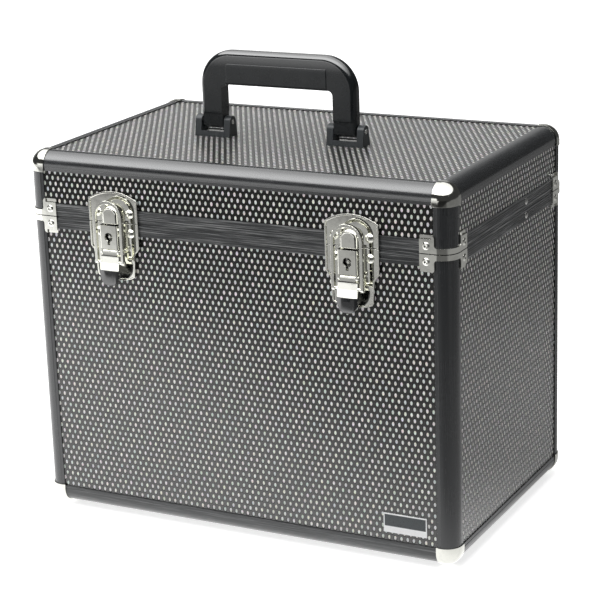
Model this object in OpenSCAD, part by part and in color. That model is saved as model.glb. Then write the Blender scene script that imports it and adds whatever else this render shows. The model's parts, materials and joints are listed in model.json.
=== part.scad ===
// Vanity case: panels held in edge profiles, hinged lid, two draw latches,
// two slotted lid stays and a folding carrying handle.
// Millimetres. +Z is up and the front faces -Y. The origin is on the floor,
// under the middle of the whole footprint, latches and hinges included.

/* [Case] */
// Width of the case over its edge profiles
case_w = 350; // [300:1:420]
// Depth of the case over its edge profiles
case_d = 222; // [190:1:280]
// Height of the lower case, from its underside to the parting plane
body_h = 236; // [200:1:300]
// Height of the lid above the parting plane
lid_h = 49; // [47:1:80]
// Gap between the two rims when the lid is closed
rim_gap = 0.3; // [0.2:0.05:0.6]

/* [Edge profiles] */
// Width of each flange of an edge profile
edge_flange = 14.3; // [13:0.1:17]
// Radius of the rounded nose of an edge profile
edge_r = 11.5; // [9:0.1:12]
// Thickness of the aluminium skins
skin_t = 1.2; // [1:0.05:1.5]
// Width of the flat lip beside the rounded nose
lip_w = 2.6; // [2:0.1:3]
// Step from the nose down to the lip
lip_drop = 0.3; // [0.1:0.05:0.5]

/* [Panels] */
// Thickness of the panel boards
board_t = 4; // [3:0.1:5]
// Play of a board in its slot
board_play = 0.2; // [0.1:0.05:0.4]
// Gap behind the end of a board in its slot
board_end_gap = 0.3; // [0.1:0.05:0.6]
// Thickness of the inner lining
lining_t = 1.8; // [1:0.1:3]
// How far the lining ends from the parting plane
lining_drop = 1; // [0.5:0.1:3]

/* [Rims] */
// Height of each rim profile beside the parting plane
rim_h = 9.5; // [9.4:0.1:11]
// Pitch of the fine ribs along a rim
rib_pitch = 1.5; // [1.2:0.1:2]
// Width of the groove between two ribs
rib_gap = 0.5; // [0.3:0.05:0.8]
// Depth of the grooves between ribs
rib_depth = 0.35; // [0.2:0.05:0.5]
// Height of the recess along the parting plane
rim_step_h = 1.2; // [0.8:0.1:1.4]
// Depth of the recess along the parting plane
rim_step_depth = 0.6; // [0.3:0.05:0.8]
// Height of the tongue on the lower rim
tongue_h = 1.5; // [1:0.1:2]
// Width of the tongue on the lower rim
tongue_w = 1.8; // [1.2:0.1:2.4]
// Clearance of the tongue in the groove of the upper rim
tongue_gap = 0.5; // [0.4:0.05:0.8]

/* [Corner fittings] */
// Thickness of the ball corner caps
cap_t = 0.8; // [0.6:0.1:1.2]
// How far a cap lies over the ends of the profiles
cap_lap = 0.9; // [0.5:0.1:1.5]
// Thickness of the corner braces
brace_t = 1; // [0.8:0.1:1.4]
// Reach of a brace from the outer corner along a face
brace_reach = 24.6; // [24:0.1:28]
// Height of the leg of a brace
brace_h = 13.3; // [13:0.1:15]
// Height of the strap that wraps round the corner post
strap_h = 4.2; // [3.6:0.1:5]
// Gap between a brace and the parting plane
brace_gap = 0.2; // [0.1:0.05:0.5]
// Radius of the head of a brace rivet
brace_rivet_r = 2.9; // [2.4:0.1:3.2]

/* [Hinges] */
// Distance of each hinge from the middle of the case
hinge_x = 95; // [60:1:120]
// Width of each hinge
hinge_w = 40; // [30:1:50]
// Distance of the hinge axis behind the back of the case
hinge_out = 3.5; // [3.4:0.1:4.5]
// Radius of the hinge knuckles
knuckle_r = 3; // [2.6:0.1:3.2]
// Radius of the hinge pin
hinge_pin_r = 1.5; // [1.2:0.1:1.8]
// Thickness of the hinge leaves
leaf_t = 1.2; // [0.8:0.1:1.5]
// Height of each hinge leaf from the hinge axis
leaf_h = 16; // [12:0.5:20]
// Gap between two neighbouring knuckles
knuckle_gap = 0.3; // [0.2:0.05:0.5]
// Opening angle of the lid at which the stays stop it
lid_angle = 95; // [80:1:100]

/* [Latches] */
// Distance of each latch from the middle of the case
latch_x = 98.8; // [80:0.1:110]
// Width of the latch plates
plate_w = 42.2; // [41:0.1:44]
// Thickness of the latch plates
plate_t = 1.2; // [1:0.05:1.5]
// Length of the base plate below the parting plane
plate_len = 44.6; // [43:0.1:46]
// Width of the narrow tail of the base plate
tail_w = 34.4; // [32:0.1:36]
// Height of the catch plate above the parting plane, at its crown
catch_h = 24.1; // [23:0.1:25]
// Height of the corners of the catch plate
catch_corner_h = 17.8; // [17:0.1:19]
// Height of the raised border of the latch plates
border_h = 0.8; // [0.4:0.1:1]
// Width of the raised border of the latch plates
border_w = 1.3; // [0.8:0.1:1.8]
// Width of the lock case and of the lever
lock_w = 15.6; // [15:0.1:16.2]
// Reach of the lock case in front of the case
lock_reach = 10; // [9.9:0.1:11]
// Wall of the lock case
lock_wall = 1.4; // [1:0.1:1.6]
// Distance of the lower end of the lock case below the parting plane
lock_len = 18.5; // [18:0.1:18.6]
// Radius of the round part of the keyhole
keyhole_r = 3.5; // [3:0.1:3.7]
// Distance of the keyhole below the parting plane
keyhole_drop = 9.3; // [8.8:0.1:9.5]
// Travel of the lock bolt
bolt_travel = 3; // [2:0.1:3]
// Distance of the lever pin below the parting plane
lever_pin_drop = 20.9; // [20.8:0.1:21.4]
// Distance of the lever pin in front of the case
lever_pin_out = 7.8; // [7.6:0.05:7.8]
// Radius of the lever pin
lever_pin_r = 1; // [0.8:0.05:1.2]
// Radius of the rolled barrel of the lever
barrel_r = 2; // [1.8:0.05:2.1]
// Length of the metal finger of the lever below its pin
finger_len = 13.7; // [13.2:0.1:14.4]
// How much the finger flares outwards at its end
finger_flare = 1.6; // [1:0.1:2]
// Width of the plastic tip of the lever
tip_w = 16.8; // [16:0.1:17.4]
// Length of the plastic tip of the lever
tip_len = 12.6; // [11.6:0.1:13.4]
// Distance of the bail pivot below the lever pin
bail_drop = 8; // [7.6:0.1:8.2]
// Radius of the inward ends on which the bail turns
trunnion_r = 1.2; // [0.9:0.05:1.2]
// Outer width of the bail
bail_w = 24.7; // [24.2:0.1:26]
// Thickness of the strip that the bail is bent from
bail_strip = 2.2; // [1.8:0.1:2.4]
// Depth of the strip that the bail is bent from
bail_depth = 2.9; // [2.4:0.1:3.4]
// Height of the crown of the bail above the parting plane
bail_crown = 18.6; // [18:0.1:19.4]
// Gap between the closed bail and the hook
bail_gap = 0.3; // [0.3:0.05:0.6]
// Width of the hook that the bail stands round
hook_w = 14.4; // [13.6:0.1:15]
// Height of the hook above the parting plane
hook_h = 13.8; // [13:0.1:14.6]
// Reach of the hook in front of the case
hook_reach = 7.6; // [7:0.1:8]
// Distance of the latch rivets from the middle of the latch
latch_rivet_x = 13.9; // [13.4:0.1:14.4]
// Distance of the latch rivets from the parting plane
latch_rivet_z = 7.5; // [6.8:0.1:7.8]
// Radius of the head of a latch rivet
latch_rivet_r = 3.6; // [3:0.1:3.7]

/* [Handle] */
// Distance of the handle to the right of the middle of the lid
handle_x = -9.5; // [-20:0.5:20]
// Distance of the handle behind the middle of the lid
handle_back = -8.5; // [-15:0.5:15]
// Outer width of the handle
handle_w = 132.3; // [120:0.1:150]
// Height of the top of the handle above the lid
handle_h = 66.5; // [60:0.1:75]
// Depth of the handle from front to back
handle_d = 12; // [11:0.5:14]
// Width of each leg of the handle
leg_w = 18.5; // [16:0.1:20]
// Thickness of the grip bar
grip_h = 26; // [22:0.5:28]
// Outer corner radius of the handle
handle_r = 27; // [22:0.5:32]
// Rounding of the outer edges of the handle
handle_round = 4.5; // [3:0.5:5]
// Length of the grip pad
pad_len = 86; // [70:1:90]
// Height of the grip pad
pad_h = 16.5; // [12:0.1:18]
// Thickness of the grip pad
pad_t = 2; // [1.5:0.1:2.5]
// How far the grip pad stands out from the handle
pad_out = 0.4; // [0.2:0.1:0.8]
// Height of the handle pins above the lid
handle_pin_h = 10; // [9.5:0.1:12]
// Radius of the handle pins
handle_pin_r = 2; // [1.5:0.1:2.5]
// Radius of the round lower end of the handle legs
leg_end_r = 5.2; // [4.8:0.1:5.4]
// Depth of the handle brackets from front to back
bracket_d = 13; // [12:0.5:15]
// Thickness of the ears of the handle brackets
ear_t = 5.4; // [4:0.1:6]
// Radius of the ears round the handle pins
ear_r = 4.8; // [4:0.1:5]
// Gap between a handle leg and the ears beside it
leg_gap = 0.6; // [0.4:0.05:1]
// Thickness of the floor of the handle brackets
bracket_floor = 2.6; // [2:0.1:3]
// Height of the sill in front of and behind the handle leg
sill_h = 4.2; // [3.4:0.1:4.4]

/* [Lid stays] */
// Distance of the stay pins behind the middle of the case
stay_back = 31.8; // [20:0.1:45]
// Distance of each stay pin from the parting plane
stay_pin_z = 5.3; // [5:0.1:6]
// Radius of the stay pins
stay_pin_r = 2; // [1.5:0.1:2.2]
// Width of the stay arms
stay_w = 10; // [9:0.5:12]
// Thickness of the stay arms
stay_t = 1.5; // [1:0.1:2]
// Clearance of the body pin in the slot of a stay
slot_gap = 0.3; // [0.25:0.05:0.5]

/* [Feet] */
// Height of the feet below the case
foot_h = 3; // [2:0.5:6]
// Radius of the feet
foot_r = 9; // [7:0.5:12]
// Distance of the feet from the sides of the case
foot_inset = 32; // [28:1:60]

/* [Hidden] */
$fn = 64;

// Colours
black_metal = "#26282a";
chrome = "#d3d5d6";
steel = "#a9acae";
laminate = "#4a4b4a";
plastic = "#1d2021";
rubber = "#191919";
cloth = "#101112";

// Small overlap that makes cuts and joins clean
eps = 0.01;
// Radial clearance of a pin in its bore
pin_fit = 0.05;
// Running clearance between pieces that move past each other
run_gap = 0.3;

// Reach of the latch tips in front of the case and of the hinges behind it
tip_back = lever_pin_out + 1.6;
tip_thick = 3.8;
tip_reach = tip_back + tip_thick;
hinge_reach = hinge_out + knuckle_r;
// The case stands so that its whole footprint is centred on the origin
case_y = (tip_reach - hinge_reach) / 2;
side_x = case_w / 2;
front_y = case_y - case_d / 2;
back_y = case_y + case_d / 2;
base_z = foot_h;
part_z = base_z + body_h;
lid_z = part_z + rim_gap;
top_z = part_z + lid_h;

// Edge profile
slot_t = board_t + board_play;
edge_depth = 2 * skin_t + slot_t;
slot_start = max(edge_depth, edge_r - sqrt(pow(edge_r, 2) - pow(edge_r - skin_t / 2, 2)));
board_inset = slot_start + board_end_gap;
rim_web = tongue_h + run_gap + skin_t;
board_rim_z = rim_web + board_end_gap;
tongue_u = edge_depth - skin_t - tongue_gap - tongue_w;
cap_len = edge_flange + cap_lap;
lining_depth = edge_depth + lining_t;

// Rivets, screws and the points where they sit
rivet_shank_r = 1.4;
brace_rivet_u = (edge_flange + brace_reach) / 2;
brace_rivet_h = rim_h / 2 + 0.8;
brace_tab_u = edge_flange + 0.3;
brace_tab_h = rim_h + 0.1;
brace_free_r = 1;
hinge_rivet_h = rim_h / 2 + 2.1;
hinge_rivet_step = hinge_w / 3;
stay_head_r = 2.6;

// Hinge
leaf_start = knuckle_r + 0.4;
knuckle_count = 5;

// Latch
lock_gap = 0.3;
bail_out = 0.8;
bail_pivot_y = -lever_pin_drop - bail_drop;
bail_pivot_p = lever_pin_out + bail_out;
bail_back = hook_reach + bail_gap;
bail_inner = bail_w / 2 - bail_strip;
lever_skin = 1.2;
lever_side = 1.2;
lever_neck = barrel_r + 2 * run_gap + 0.5;
cheek_top = -lever_pin_drop - lever_neck;
tang_len = 3.2;
tang_w = 9;
tongue_len = 5.5;
tongue_side = 3.5;
tongue_t = 1.4;
tongue_out = lock_reach - lock_wall - lock_gap - tongue_t;
tip_y = -lever_pin_drop - finger_len;
bolt_fit = 0.3;
bolt_w = lock_w - 2 * lock_wall - 2 * bolt_fit;
bolt_low = -lever_pin_drop + tongue_len + 0.5;
bolt_high = -lock_gap - lock_wall - 0.5;
bolt_front = tongue_out - 0.5;
post_r = 1;

// Handle
pin_z = top_z + handle_pin_h;
handle_y = case_y + handle_back;
crown_z = handle_h - handle_pin_h;
grip_under = crown_z - grip_h;
leg_x = (handle_w - leg_w) / 2;
bracket_w = leg_w + 2 * leg_gap + 2 * ear_t;
panel_z = top_z - skin_t;
plate_thin = 0.8;

// Lid stay
stay_y = case_y + stay_back;
stay_arm_y = back_y + hinge_out - stay_y;
stay_radius = sqrt(pow(stay_arm_y, 2) + pow(stay_pin_z, 2));
stay_tilt = atan(stay_pin_z / stay_arm_y);
stay_closed = 2 * stay_pin_z;
stay_open = 2 * stay_radius * sin(lid_angle / 2 + stay_tilt);
stay_depth = lining_depth + 0.5;
stay_len = stay_open + stay_w / 2 + 1;

// Height of a point h away from the parting plane, in the lid or in the body
function level_z(level, h) = level > 0 ? lid_z + h : part_z - h;

// Mirrors its children when the condition holds
module flip(axis, on) {
  if (on) mirror(axis) children();
  else children();
}

// Places on the outer faces: local X runs along the face, Y up and Z outwards
module on_front(x, z) translate([x, front_y, z]) rotate([90, 0, 0]) children();
module on_back(x, z) translate([x, back_y, z]) rotate([90, 0, 180]) children();
module on_side(s, y, z) translate([s * side_x, y, z]) rotate([90, 0, s * 90]) children();

// Place of a latch, its origin on the parting plane
module at_latch(s) on_front(s * latch_x, part_z) children();

// A corner of the case, with the local axes running inwards
module at_corner(sx, sy, z = 0, down = false)
  translate([sx * side_x, sy < 0 ? front_y : back_y, z])
    flip([1, 0, 0], sx > 0)
      flip([0, 1, 0], sy > 0)
        flip([0, 0, 1], down)
          children();

// A rod along X, from x0 to x1
module x_rod(x0, x1, r) translate([x0, 0, 0]) rotate([0, 90, 0]) cylinder(h = x1 - x0, r = r);

// An outline in the Y-Z plane, extruded along X from x0 to x1
module x_extrude(x0, x1) translate([x0, 0, 0]) rotate([90, 0, 90]) linear_extrude(x1 - x0) children();

// A low dome of radius r and height h on the plane Z = 0
module dome(r, h) {
  ball = (r * r + h * h) / (2 * h);
  intersection() {
    translate([0, 0, h - ball]) sphere(ball);
    translate([0, 0, 0]) cylinder(h = h, r = r);
  }
}

// A domed rivet whose head sits at height z and whose shank goes depth below it
module domed_rivet(head_r, head_h, z, depth) {
  translate([0, 0, z]) dome(head_r, head_h);
  translate([0, 0, z - depth]) cylinder(h = depth, r = rivet_shank_r);
}

// Bore for the shank of a rivet, through the skin of a profile and a plate on it
module rivet_bore(depth, plate = 0)
  translate([0, 0, -depth - eps]) cylinder(h = depth + plate + 1, r = rivet_shank_r + pin_fit);

// Cross-section of an edge profile, its outer corner at the origin
module edge_section() {
  difference() {
    intersection() {
      union() {
        square([edge_flange, edge_depth]);
        square([edge_depth, edge_flange]);
      }
      union() {
        translate([edge_r, edge_r]) circle(edge_r);
        translate([edge_r, 0]) square(edge_flange);
        translate([0, edge_r]) square(edge_flange);
      }
    }
    edge_cuts();
    mirror([1, -1]) edge_cuts();
  }
}

// Board slot and stepped lip of one flange
module edge_cuts() {
  translate([slot_start, skin_t]) square([edge_flange, slot_t]);
  translate([edge_flange - lip_w, -eps]) square([edge_flange, lip_drop + eps]);
}

// Edge profile along X at the bottom or the top of the case
module long_edges(z, down) {
  length = case_w - 2 * edge_flange;
  for (sy = [-1, 1])
    at_corner(-1, sy, z, down)
      translate([edge_flange, 0, 0]) x_extrude(0, length) edge_section();
}

// Edge profile along Y at the bottom or the top of the case
module side_edges(z, down) {
  length = case_d - 2 * edge_flange;
  for (sx = [-1, 1])
    at_corner(sx, 1, z, down)
      translate([0, edge_flange + length, 0]) rotate([90, 0, 0]) linear_extrude(length) edge_section();
}

// Upright edge profiles from z0 to z1
module corner_posts(z0, z1) {
  for (sx = [-1, 1])
    for (sy = [-1, 1])
      at_corner(sx, sy, z0) linear_extrude(z1 - z0) edge_section();
}

// Cross-section of a rim profile: X is the depth, Y the distance from the parting plane
module rim_section(level) {
  rib_count = floor((rim_h - 2 * rib_pitch) / rib_pitch);
  difference() {
    union() {
      square([edge_depth, rim_h]);
      if (level < 0) translate([tongue_u, -tongue_h]) square([tongue_w, tongue_h + eps]);
    }
    translate([skin_t, rim_web]) square([slot_t, rim_h]);
    translate([-eps, -eps]) square([rim_step_depth + eps, rim_step_h + eps]);
    for (i = [2 : rib_count + 1])
      translate([-eps, rib_pitch * i - rib_gap / 2]) square([rib_depth + eps, rib_gap]);
    if (level > 0)
      translate([tongue_u - tongue_gap, -eps])
        square([tongue_w + 2 * tongue_gap, tongue_h + run_gap + eps]);
  }
}

// Rim profiles along X, with the bores of everything that is riveted to them
module long_rims(level) {
  length = case_w - 2 * edge_flange;
  for (sy = [-1, 1])
    difference() {
      at_corner(-1, sy, level_z(level, 0), level < 0)
        translate([edge_flange, 0, 0]) x_extrude(0, length) rim_section(level);
      long_brace_spots(level, sy) rivet_bore(skin_t);
      if (sy < 0) latch_rivet_spots(level) rivet_bore(skin_t);
      if (sy > 0) hinge_rivet_spots(level) rivet_bore(skin_t);
    }
}

// Rim profiles along Y, with the bores of the braces and the stay pins
module side_rims(level) {
  length = case_d - 2 * edge_flange;
  for (sx = [-1, 1])
    difference() {
      at_corner(sx, 1, level_z(level, 0), level < 0)
        translate([0, edge_flange + length, 0]) rotate([90, 0, 0]) linear_extrude(length) rim_section(level);
      side_brace_spots(level, sx) rivet_bore(skin_t);
      stay_spot(level, sx) stay_pin_bore();
    }
}

// Upright board between two posts, seen along its face
module wall_board(half, z0, z1)
  translate([-half + board_inset, z0, -skin_t - board_t])
    cube([2 * (half - board_inset), z1 - z0, board_t]);

// Side boards of the body or the lid, bored for the stay pins
module side_board(s, level, z0, z1) {
  difference() {
    on_side(s, case_y, 0) wall_board(case_d / 2, z0, z1);
    stay_spot(level, s) stay_pin_bore();
  }
}

// Flat board at the bottom or the top, its outer face at height z
module flat_board(z)
  translate([-side_x + board_inset, front_y + board_inset, z])
    cube([case_w - 2 * board_inset, case_d - 2 * board_inset, board_t]);

body_board_z0 = base_z + board_inset;
body_board_z1 = part_z - board_rim_z;
lid_board_z0 = lid_z + board_rim_z;
lid_board_z1 = top_z - board_inset;

module bottom_panel() {
  color(laminate)
    difference() {
      flat_board(base_z + skin_t);
      foot_spots() cylinder(h = 2 * base_z + board_t, r = rivet_shank_r + pin_fit);
    }
}

module body_front_panel() {
  color(laminate) on_front(0, 0) wall_board(side_x, body_board_z0, body_board_z1);
}

module body_back_panel() {
  color(laminate) on_back(0, 0) wall_board(side_x, body_board_z0, body_board_z1);
}

module body_left_panel() {
  color(laminate) side_board(-1, -1, body_board_z0, body_board_z1);
}

module body_right_panel() {
  color(laminate) side_board(1, -1, body_board_z0, body_board_z1);
}

module top_panel() {
  color(laminate)
    difference() {
      flat_board(panel_z - board_t);
      bracket_screw_spots() translate([0, 0, -1 - board_t]) cylinder(h = board_t + 2, r = screw_r + pin_fit);
    }
}

module lid_front_panel() {
  color(laminate) on_front(0, 0) wall_board(side_x, lid_board_z0, lid_board_z1);
}

module lid_back_panel() {
  color(laminate) on_back(0, 0) wall_board(side_x, lid_board_z0, lid_board_z1);
}

module lid_left_panel() {
  color(laminate) side_board(-1, 1, lid_board_z0, lid_board_z1);
}

module lid_right_panel() {
  color(laminate) side_board(1, 1, lid_board_z0, lid_board_z1);
}

module bottom_long_edges() { color(black_metal) long_edges(base_z, false); }
module bottom_side_edges() { color(black_metal) side_edges(base_z, false); }
module top_long_edges() { color(black_metal) long_edges(top_z, true); }
module top_side_edges() { color(black_metal) side_edges(top_z, true); }
module body_corner_posts() { color(black_metal) corner_posts(base_z + edge_flange, part_z); }
module lid_corner_posts() { color(black_metal) corner_posts(lid_z, top_z - edge_flange); }
module body_long_rims() { color(black_metal) long_rims(-1); }
module body_side_rims() { color(black_metal) side_rims(-1); }
module lid_long_rims() { color(black_metal) long_rims(1); }
module lid_side_rims() { color(black_metal) side_rims(1); }

// The rounded corner of the case grown outwards, its faces running len inwards
module corner_form(grow, len) {
  r = edge_r + grow;
  run = len - edge_r;
  translate([edge_r, edge_r, edge_r]) {
    sphere(r);
    cylinder(h = run, r = r);
    rotate([0, 90, 0]) cylinder(h = run, r = r);
    rotate([-90, 0, 0]) cylinder(h = run, r = r);
    translate([0, 0, -r]) cube([run, run, r + run]);
    translate([0, -r, 0]) cube([run, r + run, run]);
    translate([-r, 0, 0]) cube([r + run, run, run]);
  }
}

// Ball corner cap: a shell over the three rounded edges that meet
module corner_cap() {
  intersection() {
    difference() {
      corner_form(cap_t, cap_len);
      corner_form(0, 3 * cap_len);
    }
    translate([-cap_t, -cap_t, -cap_t]) cube(cap_len + cap_t);
  }
}

module bottom_corner_caps() {
  color(chrome)
    for (sx = [-1, 1])
      for (sy = [-1, 1])
        at_corner(sx, sy, base_z) corner_cap();
}

module top_corner_caps() {
  color(chrome)
    for (sx = [-1, 1])
      for (sy = [-1, 1])
        at_corner(sx, sy, top_z, true) corner_cap();
}

// Outline of a brace on one face: X from the outer corner, Y from the parting plane
module brace_outline() {
  sweep = 2;
  soft = 2.2;
  leg = edge_flange - 1;
  difference() {
    union() {
      translate([edge_r, brace_gap]) square([brace_reach - edge_r, strap_h - brace_gap]);
      translate([edge_r, brace_gap]) square([edge_flange - edge_r, strap_h + sweep - brace_gap]);
      translate([leg, brace_gap]) square([brace_reach - leg, brace_h - soft - brace_gap]);
      translate([leg + soft, brace_gap]) square([brace_tab_u + brace_t - leg - soft, brace_h - brace_gap]);
      translate([leg + soft, brace_h - soft]) circle(soft);
    }
    translate([leg - sweep, strap_h + sweep]) circle(sweep);
    brace_recess();
  }
}

// End of a leg that is set back from the rim on to the board behind it
module brace_tab() {
  wide = brace_reach - brace_tab_u;
  high = brace_h - brace_tab_h;
  translate([brace_tab_u, brace_tab_h]) square([wide - brace_free_r, high]);
  translate([brace_tab_u, brace_tab_h]) square([wide, high - brace_free_r]);
  translate([brace_reach - brace_free_r, brace_h - brace_free_r]) circle(brace_free_r);
}

// Where the sheet in front of the tab is left open
module brace_recess()
  translate([brace_tab_u + brace_t, brace_tab_h + brace_t]) square([brace_reach, brace_h]);

// One leg of a brace, lying on the outer face Y = 0 of a corner
module brace_leg() {
  rotate([90, 0, 0]) {
    difference() {
      linear_extrude(brace_t) brace_outline();
      translate([brace_rivet_u, brace_rivet_h, -1]) cylinder(h = brace_t + 2, r = rivet_shank_r + pin_fit);
    }
    translate([0, 0, brace_t - skin_t]) linear_extrude(skin_t - brace_t)
      difference() {
        brace_tab();
        brace_recess();
      }
    translate([0, 0, -skin_t]) linear_extrude(brace_t) brace_tab();
  }
}

// Corner brace: a strap round the post and a riveted leg on each face
module corner_brace() {
  brace_leg();
  mirror([1, -1, 0]) brace_leg();
  difference() {
    intersection() {
      translate([edge_r, edge_r, brace_gap]) cylinder(h = strap_h - brace_gap, r = edge_r + brace_t);
      translate([-brace_t, -brace_t, 0]) cube([edge_r + brace_t, edge_r + brace_t, brace_h]);
    }
    translate([edge_r, edge_r, -1]) cylinder(h = brace_h + 2, r = edge_r);
  }
}

module braces(level)
  for (sx = [-1, 1])
    for (sy = [-1, 1])
      at_corner(sx, sy, level_z(level, 0), level < 0) corner_brace();

module body_braces() { color(chrome) braces(-1); }
module lid_braces() { color(chrome) braces(1); }

// Rivets of the braces on a long face and on a side face
module long_brace_spots(level, sy)
  for (sx = [-1, 1])
    if (sy < 0) on_front(sx * (side_x - brace_rivet_u), level_z(level, brace_rivet_h)) children();
    else on_back(sx * (side_x - brace_rivet_u), level_z(level, brace_rivet_h)) children();

module side_brace_spots(level, sx)
  for (sy = [-1, 1])
    on_side(sx, case_y + sy * (case_d / 2 - brace_rivet_u), level_z(level, brace_rivet_h)) children();

// Tubular rivet with a dimple in its head
module brace_rivet()
  difference() {
    domed_rivet(brace_rivet_r, 1.1, brace_t, brace_t + skin_t);
    translate([0, 0, brace_t + 2.6]) sphere(2.3);
  }

module brace_rivets(level)
  for (s = [-1, 1]) {
    long_brace_spots(level, s) brace_rivet();
    side_brace_spots(level, s) brace_rivet();
  }

module body_brace_rivets() { color(steel) brace_rivets(-1); }
module lid_brace_rivets() { color(steel) brace_rivets(1); }

// Open tray of lining, from z0 at its closed side to z1 at its open side
module lining(z0, z1, floor_z) {
  difference() {
    translate([-side_x + edge_depth, front_y + edge_depth, min(z0, z1)])
      cube([case_w - 2 * edge_depth, case_d - 2 * edge_depth, abs(z1 - z0)]);
    translate([-side_x + lining_depth, front_y + lining_depth, min(floor_z, z1) - (z1 < z0 ? 1 : 0)])
      cube([case_w - 2 * lining_depth, case_d - 2 * lining_depth, abs(z1 - floor_z) + 1]);
  }
}

module body_lining() {
  color(cloth)
    difference() {
      lining(base_z + edge_depth, part_z - lining_drop, base_z + lining_depth);
      for (s = [-1, 1]) stay_spot(-1, s) stay_pin_bore();
    }
}

module lid_lining() {
  color(cloth)
    difference() {
      lining(top_z - edge_depth, lid_z + lining_drop, top_z - lining_depth);
      for (s = [-1, 1]) stay_spot(1, s) stay_pin_bore();
    }
}

// Places of the feet, on the floor
module foot_spots()
  for (sx = [-1, 1])
    for (sy = [-1, 1])
      translate([sx * (side_x - foot_inset), case_y + sy * (case_d / 2 - foot_inset), 0]) children();

foot_seat = base_z + skin_t;
foot_sink = foot_seat - 2.2;
foot_head_r = 2.8;

module feet() {
  color(rubber)
    foot_spots()
      difference() {
        cylinder(h = foot_seat, r1 = foot_r - 1, r2 = foot_r);
        translate([0, 0, -1]) cylinder(h = foot_sink + 1, r = foot_head_r + run_gap);
        translate([0, 0, -1]) cylinder(h = foot_seat + 2, r = rivet_shank_r + pin_fit);
      }
}

module foot_screws() {
  color(steel)
    foot_spots() {
      translate([0, 0, foot_sink - 1.2]) cylinder(h = 1.2, r = foot_head_r);
      translate([0, 0, foot_sink - eps]) cylinder(h = foot_seat + board_t - foot_sink, r = rivet_shank_r);
    }
}

// Knuckles of one hinge; the body holds the even ones and the lid the odd ones
module knuckles(odd) {
  step = hinge_w / knuckle_count;
  for (i = [odd ? 1 : 0 : 2 : knuckle_count - 1])
    translate([-hinge_w / 2 + i * step + knuckle_gap / 2, 0, 0]) {
      x_rod(0, step - knuckle_gap, knuckle_r);
      translate([0, 0, -knuckle_r]) cube([step - knuckle_gap, leaf_start + leaf_t, leaf_t]);
    }
}

// Hinge leaf: X along the hinge, Y away from the parting plane, Z outwards
module hinge_leaf(odd) {
  difference() {
    union() {
      translate([-hinge_w / 2, leaf_start, 0]) cube([hinge_w, leaf_h - leaf_start, leaf_t]);
      translate([0, 0, hinge_out]) knuckles(odd);
      translate([0, 0, hinge_out - knuckle_r]) leaf_joggle(odd);
    }
    translate([0, 0, hinge_out]) x_rod(-hinge_w, hinge_w, hinge_pin_r + pin_fit);
    for (i = [-1 : 1]) translate([i * hinge_rivet_step, hinge_rivet_h, 0]) rivet_bore(skin_t, leaf_t);
  }
}

// Step of the sheet between the leaf and its knuckles
module leaf_joggle(odd) {
  step = hinge_w / knuckle_count;
  for (i = [odd ? 1 : 0 : 2 : knuckle_count - 1])
    translate([-hinge_w / 2 + i * step + knuckle_gap / 2, leaf_start, -hinge_out + knuckle_r])
      cube([step - knuckle_gap, leaf_t, hinge_out - knuckle_r + leaf_t]);
}

module hinge_leaves(level)
  for (s = [-1, 1])
    on_back(s * hinge_x, part_z) flip([0, 1, 0], level < 0) hinge_leaf(level > 0);

module body_hinge_leaves() { color(chrome) hinge_leaves(-1); }
module lid_hinge_leaves() { color(chrome) hinge_leaves(1); }

module hinge_pins() {
  head_t = 0.8;
  color(steel)
    for (s = [-1, 1])
      on_back(s * hinge_x, part_z)
        translate([0, 0, hinge_out]) {
          x_rod(-hinge_w / 2 - head_t, hinge_w / 2 + head_t, hinge_pin_r);
          for (t = [0, 1])
            translate([t * (hinge_w + head_t) - hinge_w / 2 - head_t, 0, 0]) x_rod(0, head_t, hinge_pin_r + 0.6);
        }
}

module hinge_rivet_spots(level)
  for (s = [-1, 1])
    for (i = [-1 : 1])
      on_back(s * hinge_x + i * hinge_rivet_step, part_z + level * hinge_rivet_h) children();

module hinge_rivets(level) hinge_rivet_spots(level) domed_rivet(2.2, 0.9, leaf_t, leaf_t + skin_t);

module body_hinge_rivets() { color(steel) hinge_rivets(-1); }
module lid_hinge_rivets() { color(steel) hinge_rivets(1); }

// Outline of the latch base plate below the parting plane, drawn in by inset
module base_outline(inset) {
  wide = plate_w / 2 - inset;
  slim = tail_w / 2 - inset;
  shoulder = -18;
  waist = -24.6;
  taper = 1;
  foot = 4.2 - plate_len;
  bow = 4.2 - inset;
  right = concat(
    [[wide, inset > 0 ? 1 : -brace_gap], [wide, shoulder]],
    [for (t = [0.1 : 0.1 : 1]) [wide + (slim - wide) * (1 - cos(180 * t)) / 2, shoulder + (waist - shoulder) * t]],
    [for (a = [0 : 10 : 90]) [(slim - taper) * cos(a), foot - bow * sin(a)]]
  );
  left = [for (i = [len(right) - 2 : -1 : 0]) [-right[i][0], right[i][1]]];
  polygon(concat(right, left));
}

// Outline of the catch plate above the parting plane, drawn in by inset
module catch_outline(inset) {
  half = plate_w / 2;
  rise = catch_h - catch_corner_h;
  arc_r = (half * half + rise * rise) / (2 * rise);
  low = rim_gap + brace_gap;
  intersection() {
    translate([inset - half, inset > 0 ? -1 : low]) square([plate_w - 2 * inset, catch_h + 1]);
    translate([0, catch_h - arc_r]) circle(arc_r - inset, $fn = 180);
  }
}

// A pressed plate with a raised border along its free edges
module latch_plate(outer, inner_on) {
  if (outer) {
    linear_extrude(plate_t) base_outline(0);
    linear_extrude(plate_t + border_h)
      difference() {
        base_outline(0);
        base_outline(border_w);
      }
  } else {
    linear_extrude(plate_t) catch_outline(0);
    linear_extrude(plate_t + border_h)
      difference() {
        catch_outline(0);
        catch_outline(border_w);
      }
  }
}

module latch_rivet_spots(level)
  for (s = [-1, 1])
    for (t = [-1, 1])
      at_latch(s) translate([t * latch_rivet_x, level * latch_rivet_z, 0]) children();

module latch_rivets(level)
  latch_rivet_spots(level) domed_rivet(latch_rivet_r, 2.2, plate_t, plate_t + skin_t);

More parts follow.
